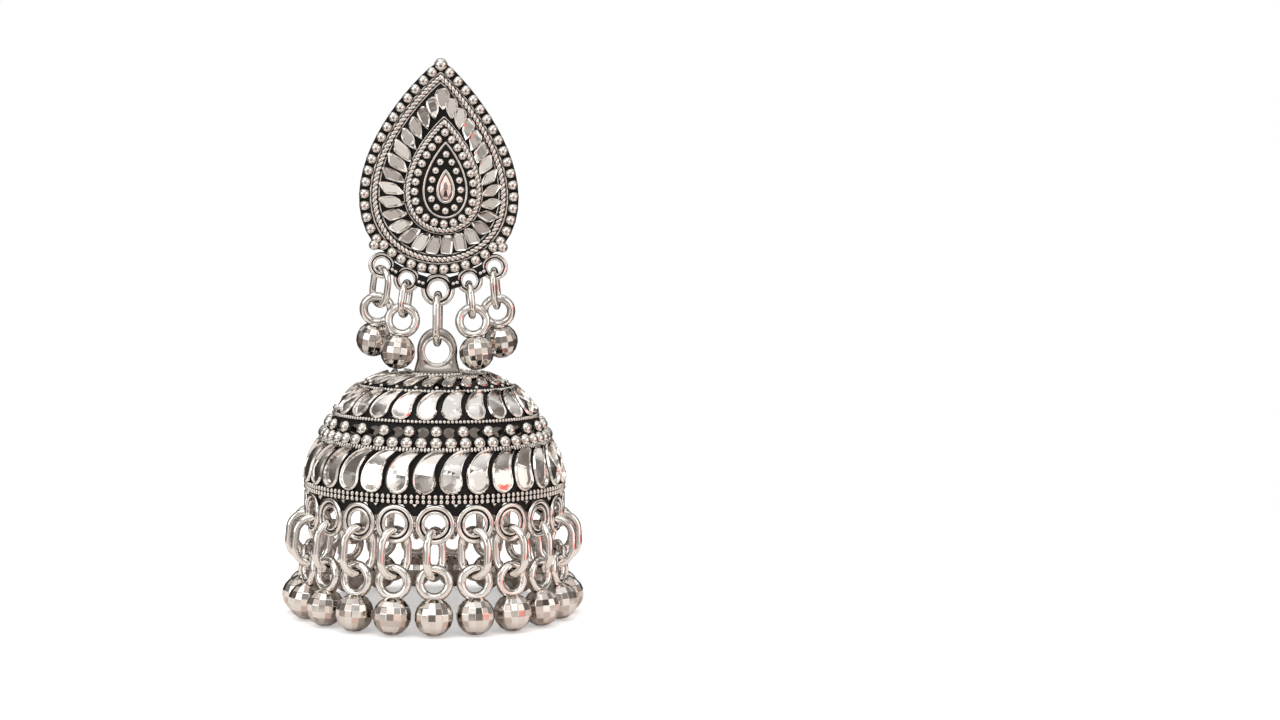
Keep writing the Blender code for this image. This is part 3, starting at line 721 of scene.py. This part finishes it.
def charm_mesh(girth, spin):
    """A faceted ball on its ring, with the ring's centre at the origin and the facets turned by spin."""
    facets = ball(girth, BALL_SIDES, BALL_ROWS, smooth=False).mesh("ball")
    bm = bmesh.new()
    bm.from_mesh(facets)
    # Each facet gets a random key that picks its painted reflection tone in the material.
    tone = bm.faces.layers.float.new("facet_reflection")
    for face in bm.faces:
        face[tone] = chance.random()
    bmesh.ops.bevel(bm, geom=bm.edges, offset=BALL_EDGE, segments=1, affect="EDGES")
    turn = Matrix.Rotation(spin, 4, "Z")
    bmesh.ops.transform(bm, matrix=offset((0, 0, -ball_drop())) @ turn, verts=bm.verts)
    for face in bm.faces:
        face.smooth = False
    ring = Shape()
    wire(ring, circle(CHARM_RING_RADIUS, LOOP_STEPS), CHARM_RING_WIRE / 2)
    top = -CHARM_RING_RADIUS
    bottom = -ball_drop() + BALL_RADIUS * 0.93
    neck = [Vector((0, 0, z)) for z in (top, (top + bottom) / 2, bottom)]
    wire(ring, neck, [CHARM_RING_WIRE * share for share in (0.46, 0.6, 0.95)], closed=False)
    bm.from_mesh(ring.mesh("ring"))
    mesh = bpy.data.meshes.new("charm")
    bm.to_mesh(mesh)
    bm.free()
    return mesh


def hang_drop(kind, number, link, charms, place, loop_wire, link_wire, link_height, body, look):
    """A jump ring and a charm under a loop; the place is at the loop's lowest wire, its X along the wire."""
    link_top = bearing(loop_wire, link_wire)
    link_bottom = link_top - (link_height - link_wire)
    charm_centre = link_bottom + bearing(link_wire, CHARM_RING_WIRE) - CHARM_RING_RADIUS
    names = (f"{kind}_link_{number}", f"{kind}_charm_{number}")
    twist = LINK_TWISTS.get(names[0], chance.uniform(-OTHER_LINK_TWIST, OTHER_LINK_TWIST))
    link_turn = rotation(90 + twist, "Z")
    charm = chance.choice(charms)
    drops = (
        (names[0], link, offset((0, 0, (link_top + link_bottom) / 2)) @ link_turn),
        (names[1], charm, offset((0, 0, charm_centre))),
    )
    for name, mesh, within in drops:
        own = mesh.copy()
        own.transform(place @ within)
        piece(f"{name}_look", own, look, body, POLISHED, name)


def build_side_drops(charms, look):
    loops = plaque_loops()
    drops = ((0, 1, OUTER_DROP), (1, 1, INNER_DROP), (3, -1, INNER_DROP), (4, -1, OUTER_DROP))
    for number, (loop, side, (spread, back, height)) in enumerate(drops, 1):
        centre, radius, loop_wire = loops[loop]
        link = link_mesh("side_link", SIDE_LINK_WIDTH, height, SIDE_LINK_WIRE)
        place = offset(centre - Vector((0, 0, radius))) @ rotation(side * spread, "Y") @ rotation(back, "X")
        sizes = (loop_wire, SIDE_LINK_WIRE, height)
        hang_drop("side", number, link, charms, place, *sizes, "stud", look)


MAIN_PIVOT_Z = MAIN_LOOP_Z - MAIN_LOOP_RADIUS
LINK_TOP_Z = MAIN_PIVOT_Z + bearing(MAIN_LOOP_WIRE, MAIN_LINK_WIRE)
LINK_BOTTOM_Z = LINK_TOP_Z - (MAIN_LINK_HEIGHT - MAIN_LINK_WIRE)
BAIL_CENTRE_Z = LINK_BOTTOM_Z + bearing(MAIN_LINK_WIRE, BAIL_WIRE) - BAIL_RADIUS
COLLAR_TOP_Z = BAIL_CENTRE_Z - BAIL_RISE


def build_main_link(look):
    mesh = link_mesh("main_link", MAIN_LINK_WIDTH, MAIN_LINK_HEIGHT, MAIN_LINK_WIRE)
    centre = Vector((0, LOOP_PLANE_Y, (LINK_TOP_Z + LINK_BOTTOM_Z) / 2))
    mesh.transform(offset(centre) @ rotation(MAIN_LINK_TURN, "Z"))
    piece("main_link_look", mesh, look, "hanger", POLISHED, "main_link")


def on_bell(angle, radius, depth):
    return Vector((radius * cos(angle), radius * sin(angle) + LOOP_PLANE_Y, COLLAR_TOP_Z - depth))


class Tier:
    """A stretch of the bell's wall between two edges, each a radius and a depth under the collar's top."""

    def __init__(self, upper, lower, bulge=0.0):
        self.upper = Vector(upper)
        self.lower = Vector(lower)
        self.bulge = bulge
        self.length = (self.lower - self.upper).length
        self.radius = (self.upper.x + self.lower.x) / 2

    def section(self, up, out=0.0):
        """Radius and depth of a point this far above the tier's middle and out from its face."""
        share = 0.5 - up / self.length
        down = (self.lower - self.upper) / self.length
        square = Vector((down.y, -down.x))
        swell = self.bulge * (1 - (2 * share - 1) ** 2)
        lean = -4 * self.bulge * (2 * share - 1) / self.length
        facing = (square - down * lean).normalized()
        return self.upper.lerp(self.lower, share) + square * swell + facing * out

    def spot(self, angle, up, out=0.0):
        return on_bell(angle, *self.section(up, out))

    def bent(self, angle):
        """Moves a point given as (along the ring, up the wall, out) onto the wall."""
        return lambda point: self.spot(angle + point.x / self.radius, point.y, point.z)


CROWN = Tier((COLLAR_RADIUS, COLLAR_EDGE), SHOULDER_TOP)
LEAVES = Tier((0.0051, -0.0001), (0.0085, 0.0014), 0.0001)
DISC = Tier((0.0, 0.0), (DISC_RADIUS, 0.0))
SHOULDER = Tier(SHOULDER_TOP, WAIST_TOP, 0.00022)
WAIST = Tier(WAIST_TOP, BULGE_TOP)
BULGE = Tier(BULGE_TOP, (WALL_RADIUS, BAND_TOP_DEPTH), 0.00032)
BAND = Tier((WALL_RADIUS, BAND_TOP_DEPTH), (WALL_RADIUS, MOUTH_DEPTH))


def round_bell(count, start=0.0):
    """Azimuths of a row of things round the bell, the first one at the front."""
    return [angle - pi / 2 for angle in angles(count, start)]


def turned(shape, section, steps):
    """A skin turned about the bell's axis from a section of (radius, depth under the collar's top)."""
    rows = []
    for radius, depth in section:
        rows.append([on_bell(angle, radius, depth) for angle in round_bell(steps)])
    shape.grid(rows)


def comma(width, length, bend_from, bend_to, steps=12):
    """A comma's outline, as pairs of an edge point and the middle line's point that it belongs to."""
    middle = [Vector((0.0, 0.0))]
    headings = []
    for step in range(steps + 1):
        heading = radians(bend_from + (bend_to - bend_from) * step / steps)
        headings.append(Vector((sin(heading), cos(heading))))
        if step < steps:
            middle.append(middle[-1] + headings[-1] * length / steps)
    head = width / 2
    shift = Vector((-(middle[0].x + middle[-1].x) / 2, -(middle[0].y - head + middle[-1].y) / 2))
    middle = [point + shift for point in middle]
    right = []
    left = []
    for step, (point, ahead) in enumerate(zip(middle, headings)):
        half = head * cos(pi / 2 * (step / steps)) ** 0.75 if step < steps else 0.0
        side = Vector((ahead.y, -ahead.x)) * half
        right.append((point + side, point))
        left.append((point - side, point))
    ahead = headings[0]
    side = Vector((ahead.y, -ahead.x))
    bottom = []
    for angle in angles(16)[1:8]:
        out = side * cos(angle) - ahead * sin(angle)
        bottom.append((middle[0] + out * head, middle[0]))
    return right[::-1] + bottom + left[:-1]


def petal(outline, height, crease, slope, tilt):
    """A cast petal: a thin raised rim round two mirror facets that meet in a level crease."""
    shape = Shape()
    rows = []
    for share, rise in COMMA_STEPS:
        row = []
        for edge, core in outline:
            point = core + (edge - core) * share
            lift = height * 0.85 - abs(point.y - crease) * slope + point.x * tilt
            row.append(Vector((*point, height * rise if rise else min(lift, height * 0.95))))
        rows.append(row)
    shape.grid(rows, smooth=False)
    return shape


def petal_row(shape, tier, count, sizes, height, slope, drop=0.0):
    """A row of petals, each cast a little differently."""
    outline = comma(*sizes)
    for angle in round_bell(count):
        crease = chance.uniform(*COMMA_CREASE)
        fall = slope * chance.uniform(*COMMA_SLOPE)
        unit = petal(outline, height, crease, fall, chance.uniform(*COMMA_TILT))
        shape.stamp(lifted(unit, -drop, 0.0), tier.bent(angle))


def row_of(shape, unit, tier, count, start=0.0):
    for angle in round_bell(count, start):
        shape.stamp(unit, tier.bent(angle))


def grains(shape, tier, count, up, out, radius, sides=GRAIN_SIDES, rows=GRAIN_ROWS, start=0.0):
    """A row of small round grains on a tier."""
    unit = ball(radius, sides, rows)
    for angle in round_bell(count, start):
        shape.stamp(unit, offset(tier.spot(angle, up, out)))


def wall_section():
    """The bell wall's section of (radius, depth), outside down and inside up."""
    section = [(0.0, ROOF), (COLLAR_RADIUS - ROOF, ROOF)]
    for tier in (CROWN, SHOULDER, WAIST, BULGE):
        for step in range(5):
            place = tier.section(tier.length * (0.5 - step / 5))
            section.append((place.x - WALL_SINK, place.y))
    section.append((WALL_RADIUS - WALL_SINK, BAND_TOP_DEPTH))
    section.append((WALL_RADIUS - WALL_SINK, MOUTH_DEPTH - WALL_CUT))
    inner_radius = WALL_RADIUS - BELL_WALL
    section.append((inner_radius, MOUTH_DEPTH - WALL_CUT))
    for tier in (BULGE, WAIST, SHOULDER, CROWN):
        for step in range(4):
            place = tier.section(tier.length * (-0.5 + step / 4), -BELL_WALL)
            section.append((min(place.x, inner_radius), place.y))
    section.append((0.0, CEILING))
    return section


def build_bell_shell(black, inside):
    shell = Shape()
    turned(shell, wall_section(), BELL_STEPS)
    gaps = Shape()
    row_of(gaps, leaf_cutter(0.001, 0.0017, 30), CROWN, CROWN_GAPS)
    row_of(gaps, lifted(leaf_cutter(0.00135, 0.0012, 0), WAIST_UP, 0.0), WAIST, WAIST_BEADS, 0.5)
    blank = placed("bell_shell_blank", shell.mesh("bell_shell"))
    cutter = placed("bell_gaps", gaps.mesh("bell_gaps"))
    cut = blank.modifiers.new("gaps", "BOOLEAN")
    cut.operation = "DIFFERENCE"
    cut.object = cutter
    bpy.context.view_layer.update()
    graph = bpy.context.evaluated_depsgraph_get()
    mesh = bpy.data.meshes.new_from_object(blank.evaluated_get(graph))
    for item in (blank, cutter):
        bpy.data.objects.remove(item, do_unlink=True)
    mesh.set_sharp_from_angle(angle=radians(35))
    piece("bell_shell", mesh, black, "bell", CAST, "bell")
    mesh.materials.append(inside)
    for face in mesh.polygons:
        out = Vector((face.center.x, face.center.y - LOOP_PLANE_Y, 0.0))
        ceiling = face.normal.z < -0.5 and out.length < 0.012
        if ceiling or face.normal.dot(out) < -0.2 * out.length:
            face.material_index = 1


def leaf_cutter(width, length, lean):
    """A prism that cuts an oval gap through the wall, as (along the ring, up the wall, out)."""
    shape = Shape()
    turn = radians(lean)
    rows = []
    for out in (0.001, -0.0025):
        row = []
        for angle in angles(12):
            x = width / 2 * cos(angle)
            y = length / 2 * sin(angle)
            along = x * cos(turn) + y * sin(turn)
            row.append(Vector((along, y * cos(turn) - x * sin(turn), out)))
        rows.append(row)
    shape.grid(rows, caps=True, smooth=False)
    return shape


def upright(unit, stretch):
    """A round unit made long up the wall."""
    unit.points = [Vector((point.x, point.z * stretch, point.y)) for point in unit.points]
    return unit


def build_bell_relief(cast, mirror, darker_silver):
    disc = Shape()
    edge = COLLAR_EDGE / 2
    rim = [(DISC_RADIUS - edge + edge * sin(turn), edge - edge * cos(turn)) for turn in angles(12)[:7]]
    turned(disc, [(0.0, 0.0), *rim, (0.0, COLLAR_EDGE)], 96)
    grains(disc, DISC, 40, BAIL_GRAINS_UP, 0.00005, 0.00024)
    grains(disc, DISC, 84, -DISC.length / 2, -GRAIN_OUT, 0.00019)
    petal_row(disc, DISC, DISC_LEAVES, DISC_COMMA, 0.00012, 0.03, DISC_LEAVES_DROP)
    bell_piece("bell_disc", disc, cast)
    # The bail's sides take a darker silver than its lips, which use the cast silver.
    bell_piece("bell_bail", bail_shape(), darker_silver)
    lips = Shape()
    lip = BAIL_WIRE * 0.24
    for side in (-1, 1):
        centre = Vector((0, LOOP_PLANE_Y + side * BAIL_WIRE * 0.3, BAIL_CENTRE_Z))
        ring = circle(BAIL_RADIUS - BAIL_WIRE / 2 + lip * 0.9)
        wire(lips, [centre + point for point in ring], lip, sides=10)
    bell_piece("bell_bail_lips", lips, cast)

    crown = Shape()
    petal_row(crown, LEAVES, CROWN_LEAVES, CROWN_COMMA, 0.00045, 0.05)
    for start, up in ((0.0, -0.0012), (0.5, -0.0006)):
        grains(crown, LEAVES, CROWN_LEAVES, up, GRAIN_OUT, 0.00024, start=start)
    grains(crown, CROWN, 126, -CROWN.length / 2, GRAIN_OUT, 0.00023)
    bell_piece("bell_crown_leaves", crown, cast)

    shoulder = Shape()
    petal_row(shoulder, SHOULDER, SHOULDER_PETALS, SHOULDER_COMMA, 0.0005, 0.14, 0.00012)
    bell_piece("bell_shoulder_petals", shoulder, mirror)

    lines = Shape()
    grains(lines, SHOULDER, 166, -SHOULDER.length / 2, GRAIN_OUT, 0.00022)
    grains(lines, WAIST, LOW_WAIST_BEADS, LOW_WAIST_UP, GRAIN_OUT, 0.0007, BEAD_SIDES, BEAD_ROWS)
    grains(lines, WAIST, WAIST_BEADS, WAIST_UP, GRAIN_OUT, 0.00068, BEAD_SIDES, BEAD_ROWS)
    bell_piece("bell_waist_beads", lines, cast)

    ribs = Shape()
    fine_rib = upright(ball(0.00019, 6, 5), 1.6)
    row_of(ribs, lifted(fine_rib, -WAIST.length / 2 + 0.00012, 0.00022), WAIST, FINE_RIBS)
    rib = upright(ball(0.00024, 8, 6), 1.15)
    for up in (0.00044, -0.00008):
        row_of(ribs, lifted(rib, up, 0.00014), BAND, BAND_RIBS)
    wedge = Shape()
    wedge.grid([
        [Vector((x, y, 0.0)) * size + Vector((0, -0.00014 * (1 - size), out)) for x, y in WEDGE_CORNERS]
        for size, out in WEDGE_STEPS
    ], smooth=False)
    row_of(ribs, lifted(wedge, -0.0003, 0.0), BAND, FRINGE_DROPS, 0.5)
    bell_piece("bell_ribs", ribs, cast)

    bulge = Shape()
    petal_row(bulge, BULGE, BULGE_PETALS, BULGE_COMMA, 0.00052, 0.14, 0.0002)
    bell_piece("bell_bulge_petals", bulge, mirror)


def lifted(unit, up, out):
    """A unit moved up the wall and out from it."""
    shape = Shape()
    shape.stamp(unit, offset((0.0, up, out)))
    return shape


def bail_shape():
    """The ring that the bell hangs by: thicker over its top, and flaring into a foot on the disc."""
    shape = Shape()
    hole = BAIL_RADIUS - BAIL_WIRE / 2
    foot = BAIL_RISE + BAIL_FOOT_SINK
    rows = []
    for angle in angles(RING_STEPS):
        rise = sin(angle)
        reach = BAIL_RADIUS + BAIL_WIRE / 2
        depth = BAIL_WIRE / 2
        if rise > 0:
            reach += BAIL_CREST * rise ** 2
        elif -rise > sqrt(0.5):
            reach = foot / -rise
            depth = BAIL_FOOT_DEPTH
        else:
            flare = (-rise / sqrt(0.5)) ** 3.5
            reach += (foot * sqrt(2) - reach) * flare
            depth += (BAIL_FOOT_DEPTH - depth) * flare
        row = []
        for around in angles(WIRE_SIDES):
            out = (hole + reach) / 2 + (reach - hole) / 2 * cos(around)
            across = depth * sin(around) * (1.0 if rise > -0.5 else (out / reach) ** 1.5)
            row.append(Vector((out * cos(angle), across + LOOP_PLANE_Y, BAIL_CENTRE_Z + out * rise)))
        rows.append(row)
    shape.grid(rows, loop_rows=True)
    return shape


def fringe_loop_place(angle):
    """Centre of a cast ring under the bell's band, its own Y straight out from the bell."""
    depth = MOUTH_DEPTH + FRINGE_LOOP_RADIUS + FRINGE_LOOP_WIRE / 2 - FRINGE_LOOP_SEAT
    place = offset((0, LOOP_PLANE_Y, COLLAR_TOP_Z - depth))
    place = place @ Matrix.Rotation(angle - pi / 2, 4, "Z")
    return place @ offset((0, BAND_RADIUS - FRINGE_LOOP_SET_IN, 0))


def build_fringe_loops(mirror, black):
    loops = Shape()
    webs = Shape()
    sizes = (FRINGE_LOOP_RADIUS + FRINGE_LOOP_SWELL / 2, FRINGE_LOOP_WIRE + FRINGE_LOOP_SWELL)
    ring = cast_loop(*sizes)
    groove = loop_groove(*sizes)
    bead = ball(0.0004, 10, 6)
    between = Shape()
    rows = [[Vector((x, y, out)) for x, y in FRINGE_WEB] for out in (-0.0001, -0.0007)]
    between.grid(rows, caps=True, smooth=False)
    between = lifted(between, -BAND.length / 2, 0.0)
    half = pi / FRINGE_DROPS
    azimuths = round_bell(FRINGE_DROPS)
    for angle in azimuths:
        place = fringe_loop_place(angle) @ offset((0, FRINGE_LOOP_FORWARD, 0))
        loops.stamp(ring, place)
        webs.stamp(groove, place)
        webs.stamp(between, BAND.bent(angle + half))
    for angle in azimuths:
        centre = fringe_loop_place(angle + half).translation - polar(1, angle + half) * 0.0001
        loops.stamp(bead, offset(centre))
    bell_piece("bell_fringe_loops", loops, mirror)
    bell_piece("bell_webs", webs, black)


def build_fringe(charms, look):
    link = link_mesh("fringe_link", FRINGE_LINK_WIDTH, FRINGE_LINK_HEIGHT, FRINGE_LINK_WIRE)
    sizes = (FRINGE_LOOP_WIRE, FRINGE_LINK_WIRE, FRINGE_LINK_HEIGHT)
    splay = rotation(FRINGE_SPLAY, "X")
    for number, angle in enumerate(round_bell(FRINGE_DROPS), 1):
        place = fringe_loop_place(angle) @ offset((0, 0, -FRINGE_LOOP_RADIUS)) @ splay
        hang_drop("fringe", f"{number:02d}", link, charms, place, *sizes, "bell", look)


class Nodes:
    """Short calls for adding and joining shader nodes."""

    def __init__(self, tree):
        self.tree = tree

    def give(self, node, key, source):
        """Gives a node's input a value or another node's output."""
        if isinstance(source, bpy.types.NodeSocket):
            self.tree.links.new(source, node.inputs[key])
        else:
            node.inputs[key].default_value = source

    def add(self, kind, *sources, **values):
        """A node, with its first inputs in order and others by name."""
        node = self.tree.nodes.new(f"ShaderNode{kind}")
        for index, source in enumerate(sources):
            self.give(node, index, source)
        for key, value in values.items():
            if key in node.inputs:
                self.give(node, key, value)
            else:
                setattr(node, key, value)
        return node

    def noise(self, place, scale, detail, roughness=0.5, result="Fac"):
        cloud = self.add("TexNoise", Vector=place, Scale=scale, Detail=detail, Roughness=roughness)
        return cloud.outputs[result]

    def span(self, source, ends, results=(0.0, 1.0)):
        """A value held between two ends and carried over to results."""
        return self.add("MapRange", source, *ends, *results, clamp=True).outputs["Result"]

    def ramp(self, source, table, interpolation="LINEAR"):
        """The colour for a value, from a table of (position, colour)."""
        node = self.add("ValToRGB", source)
        node.color_ramp.interpolation = interpolation
        stops = node.color_ramp.elements
        stops[1].position = table[-1][0]
        stops[0].position = table[0][0]
        for position, _ in table[1:-1]:
            stops.new(position)
        for stop, (_, colour) in zip(stops, table):
            stop.color = (*colour, 1)
        return node.outputs["Color"]

    def mix(self, share, first, second):
        """A blend of two colours."""
        node = self.add("Mix", share, data_type="RGBA")
        self.give(node, 6, first)
        self.give(node, 7, second)
        return node.outputs[2]

    def bump(self, height, strength, distance):
        return self.add("Bump", Height=height, Strength=strength, Distance=distance).outputs["Normal"]

    def seen(self, others, camera):
        """One shader for all else and another for the camera's view."""
        path = self.add("LightPath")
        return self.add("MixShader", path.outputs["Is Camera Ray"], others, camera).outputs[0]


def new_material(name):
    """A material, its shader and its nodes."""
    material = bpy.data.materials.new(name)
    material.use_nodes = True
    return material, material.node_tree.nodes["Principled BSDF"], Nodes(material.node_tree)


def metal(name, colour, tarnish, roughness, spread, patina, depth=0.0004, facets=()):
    """Silver with uneven polish, tarnished recesses, fine marks and, if asked, painted reflections: facets
    in other tones that stand in for what each facet mirrors.
    """
    material, shader, nodes = new_material(name)
    place = nodes.add("TexCoord").outputs["Object"]
    cloud = nodes.noise(place, 260.0, 4.0, 0.6)
    polish = nodes.span(cloud, (0.0, 1.0), (max(roughness - spread, 0.04), roughness + spread))
    hollow = nodes.add("AmbientOcclusion", samples=8, only_local=False, Distance=depth)
    reach = nodes.span(hollow.outputs["AO"], (0.25, 0.75), (patina, 0.0))
    face = (*colour, 1)
    # Painted reflections: each facet's random key picks one of the given tones, standing in for the room it
    # mirrors.
    if facets:
        own = nodes.add("Attribute", attribute_name="facet_reflection")
        table = [(0.0, colour)] + [(0.3 + 0.21 * index, shade) for index, shade in enumerate(facets)]
        face = nodes.ramp(own.outputs["Fac"], table, "CONSTANT")
    nodes.give(shader, "Metallic", 1.0)
    nodes.give(shader, "Roughness", polish)
    nodes.give(shader, "Base Color", nodes.mix(reach, face, (*tarnish, 1)))
    nodes.give(shader, "Normal", nodes.bump(nodes.noise(place, 2600.0, 3.0, 0.6), 0.08, 0.00003))
    return material


def black_recess():
    """Deeply oxidised silver in the hollows of the casting."""
    material, shader, nodes = new_material("black_oxide")
    cloud = nodes.noise(nodes.add("TexCoord").outputs["Object"], 900.0, 5.0, 0.65)
    tone = nodes.ramp(cloud, ((0.35, (0.003, 0.003, 0.003)), (0.75, (0.018, 0.017, 0.016))))
    nodes.give(shader, "Metallic", 0.0)
    nodes.give(shader, "Specular IOR Level", 0.25)
    nodes.give(shader, "Base Color", tone)
    nodes.give(shader, "Roughness", nodes.span(cloud, (0.0, 1.0), (0.35, 0.7)))
    nodes.give(shader, "Normal", nodes.bump(cloud, 0.4, 0.00006))
    return material


def build_world():
    """The room that the metal mirrors. The camera itself sees plain white."""
    world = bpy.data.worlds.new("room")
    bpy.context.scene.world = world
    world.use_nodes = True
    nodes = Nodes(world.node_tree)
    place = nodes.add("TexCoord").outputs["Generated"]
    split = nodes.add("SeparateXYZ", place)
    levels = nodes.ramp(nodes.span(split.outputs["Z"], (-1.0, 1.0)), ROOM_LEVELS)
    warp = nodes.noise(place, 1.7, 2.0, result="Color")
    bent = nodes.add("VectorMath", warp, (0.5, 0.5, 0.5), place, operation="MULTIPLY_ADD")
    cells = nodes.add("TexVoronoi", bent.outputs["Vector"], Scale=3.3)
    grey = nodes.add("SeparateColor", cells.outputs["Color"])
    room = nodes.mix(0.42, levels, nodes.ramp(grey.outputs[0], ROOM_PATCHES))
    across = nodes.add("Math", split.outputs["X"], operation="ABSOLUTE")
    low = nodes.span(split.outputs["Z"], (0.75, 0.35), (0.0, 0.55))
    room = nodes.mix(low, room, nodes.ramp(across.outputs[0], ROOM_STRIPS))
    away = nodes.add("VectorMath", place, REAR_DIRECTION, operation="DOT_PRODUCT")
    room = nodes.mix(nodes.span(away.outputs["Value"], (0.2, 0.6)), room, (*REAR_WALL, 1))
    toward = nodes.add("VectorMath", place, SPOT_DIRECTION, operation="DOT_PRODUCT")
    room = nodes.mix(nodes.span(toward.outputs["Value"], (0.935, 0.965)), room, (*DARK_SPOT, 1))
    back = world.node_tree.nodes["Background"]
    nodes.give(back, "Strength", 1.0)
    nodes.give(back, "Color", room)
    white = nodes.add("Background", (1, 1, 1, 1))
    surface = nodes.seen(back.outputs[0], white.outputs[0])
    nodes.give(world.node_tree.nodes["World Output"], "Surface", surface)


def build_stage():
    """A pale round floor under the lowest balls."""
    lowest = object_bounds()[0][2]
    material, shader, nodes = new_material("paper")
    nodes.give(shader, "Base Color", (0.9, 0.9, 0.9, 1))
    nodes.give(shader, "Roughness", 0.95)
    nodes.give(shader, "Emission Color", (1, 1, 1, 1))
    nodes.give(shader, "Emission Strength", FLOOR_GLOW)
    reach = nodes.add("VectorMath", nodes.add("TexCoord").outputs["Object"], operation="LENGTH")
    dim = nodes.add("BsdfDiffuse", (0.88, 0.82, 0.78, 1)).outputs[0]
    clear = nodes.add("BsdfTransparent").outputs[0]
    faded = nodes.add("MixShader", nodes.span(reach.outputs["Value"], FLOOR_FADE), dim, clear)
    surface = nodes.seen(faded.outputs[0], shader.outputs[0])
    nodes.give(material.node_tree.nodes["Material Output"], "Surface", surface)
    floor = Shape()
    floor.grid([
        [polar(radius, turn, lowest - FLOOR_GAP) for turn in round_bell(96)]
        for radius in (0.0, FLOOR_RADIUS / 2, FLOOR_RADIUS)
    ])
    mesh = floor.mesh("paper_floor")
    mesh.materials.append(material)
    placed("paper_floor", mesh)


def area_light(name, spot, size, power, colour=(1, 1, 1), mirrored=True):
    data = bpy.data.lights.new(name, "AREA")
    data.shape = "RECTANGLE"
    data.size, data.size_y = size
    data.energy = power
    data.color = colour
    obj = placed(name, data)
    obj.location = spot
    obj.rotation_euler = (Vector(LIGHT_TARGET) - Vector(spot)).to_track_quat("-Z", "Y").to_euler()
    obj.visible_camera = False
    obj.visible_glossy = mirrored


def build_lights():
    area_light("top_light", (0.0, 0.05, 0.45), (0.5, 0.5), 0.8, mirrored=False)
    area_light("left_light", (-0.4, -0.25, 0.15), (0.35, 0.35), 0.5)
    area_light("right_light", (0.4, -0.2, 0.1), (0.25, 0.35), 0.3, (1.0, 0.93, 0.88))
    area_light("front_light", (-0.03, -0.3, 0.28), (0.3, 0.17), 0.2)
    area_light("red_card", (0.108, -0.072, -0.04), (0.055, 0.04), 0.008, (1.0, 0.04, 0.025))


def build_camera():
    data = bpy.data.cameras.new("camera")
    data.lens = CAMERA_LENS
    data.sensor_width = 36.0
    camera = placed("camera", data)
    camera.location = CAMERA_SPOT
    view = rotation(CAMERA_YAW, "Z") @ rotation(90 - CAMERA_PITCH, "X") @ rotation(CAMERA_ROLL, "Z")
    camera.rotation_euler = view.to_euler()
    bpy.context.scene.camera = camera


def build():
    cast = metal("cast_silver", (0.8, 0.765, 0.72), (0.035, 0.03, 0.028), 0.17, 0.06, 0.93)
    mirror = metal("petal_silver", (0.86, 0.825, 0.785), (0.05, 0.042, 0.038), 0.09, 0.04, 0.8)
    # The bright silver's facet tones are painted reflections on the balls, from pale and dark to rose.
    polished = metal("bright_silver", (0.86, 0.83, 0.79), (0.06, 0.05, 0.045), 0.09, 0.04, 0.7,
                     facets=((0.8, 0.75, 0.7), (0.66, 0.6, 0.55), (0.46, 0.41, 0.37), (0.72, 0.57, 0.51)))
    # Darker, rougher silver for the bail's sides; its lips take the brighter cast silver.
    darker_silver = metal("bail_side_silver", (0.42, 0.39, 0.36), (0.04, 0.036, 0.032), 0.26, 0.08, 0.9, 0.0008)
    core_look = metal("core_silver", (0.66, 0.53, 0.49), (0.05, 0.03, 0.03), 0.15, 0.06, 0.9)
    black = black_recess()
    inside = metal("inner_silver", (0.86, 0.84, 0.81), (0.08, 0.07, 0.065), 0.45, 0.08, 0.3)
    build_plaque(cast, mirror, inside, black, core_look)
    build_post(polished)
    spins = [turn / BALL_SIDES for turn in angles(CHARM_KINDS)]
    build_side_drops([charm_mesh(SIDE_BALL_GIRTH, spin) for spin in spins], polished)
    build_main_link(polished)
    build_bell_shell(black, inside)
    build_bell_relief(cast, mirror, darker_silver)
    build_fringe_loops(mirror, black)
    build_fringe([charm_mesh(BALL_GIRTH, spin) for spin in spins], polished)


build()
build_camera()
build_lights()
build_world()
build_stage()
bpy.context.scene.view_settings.view_transform = "Standard"
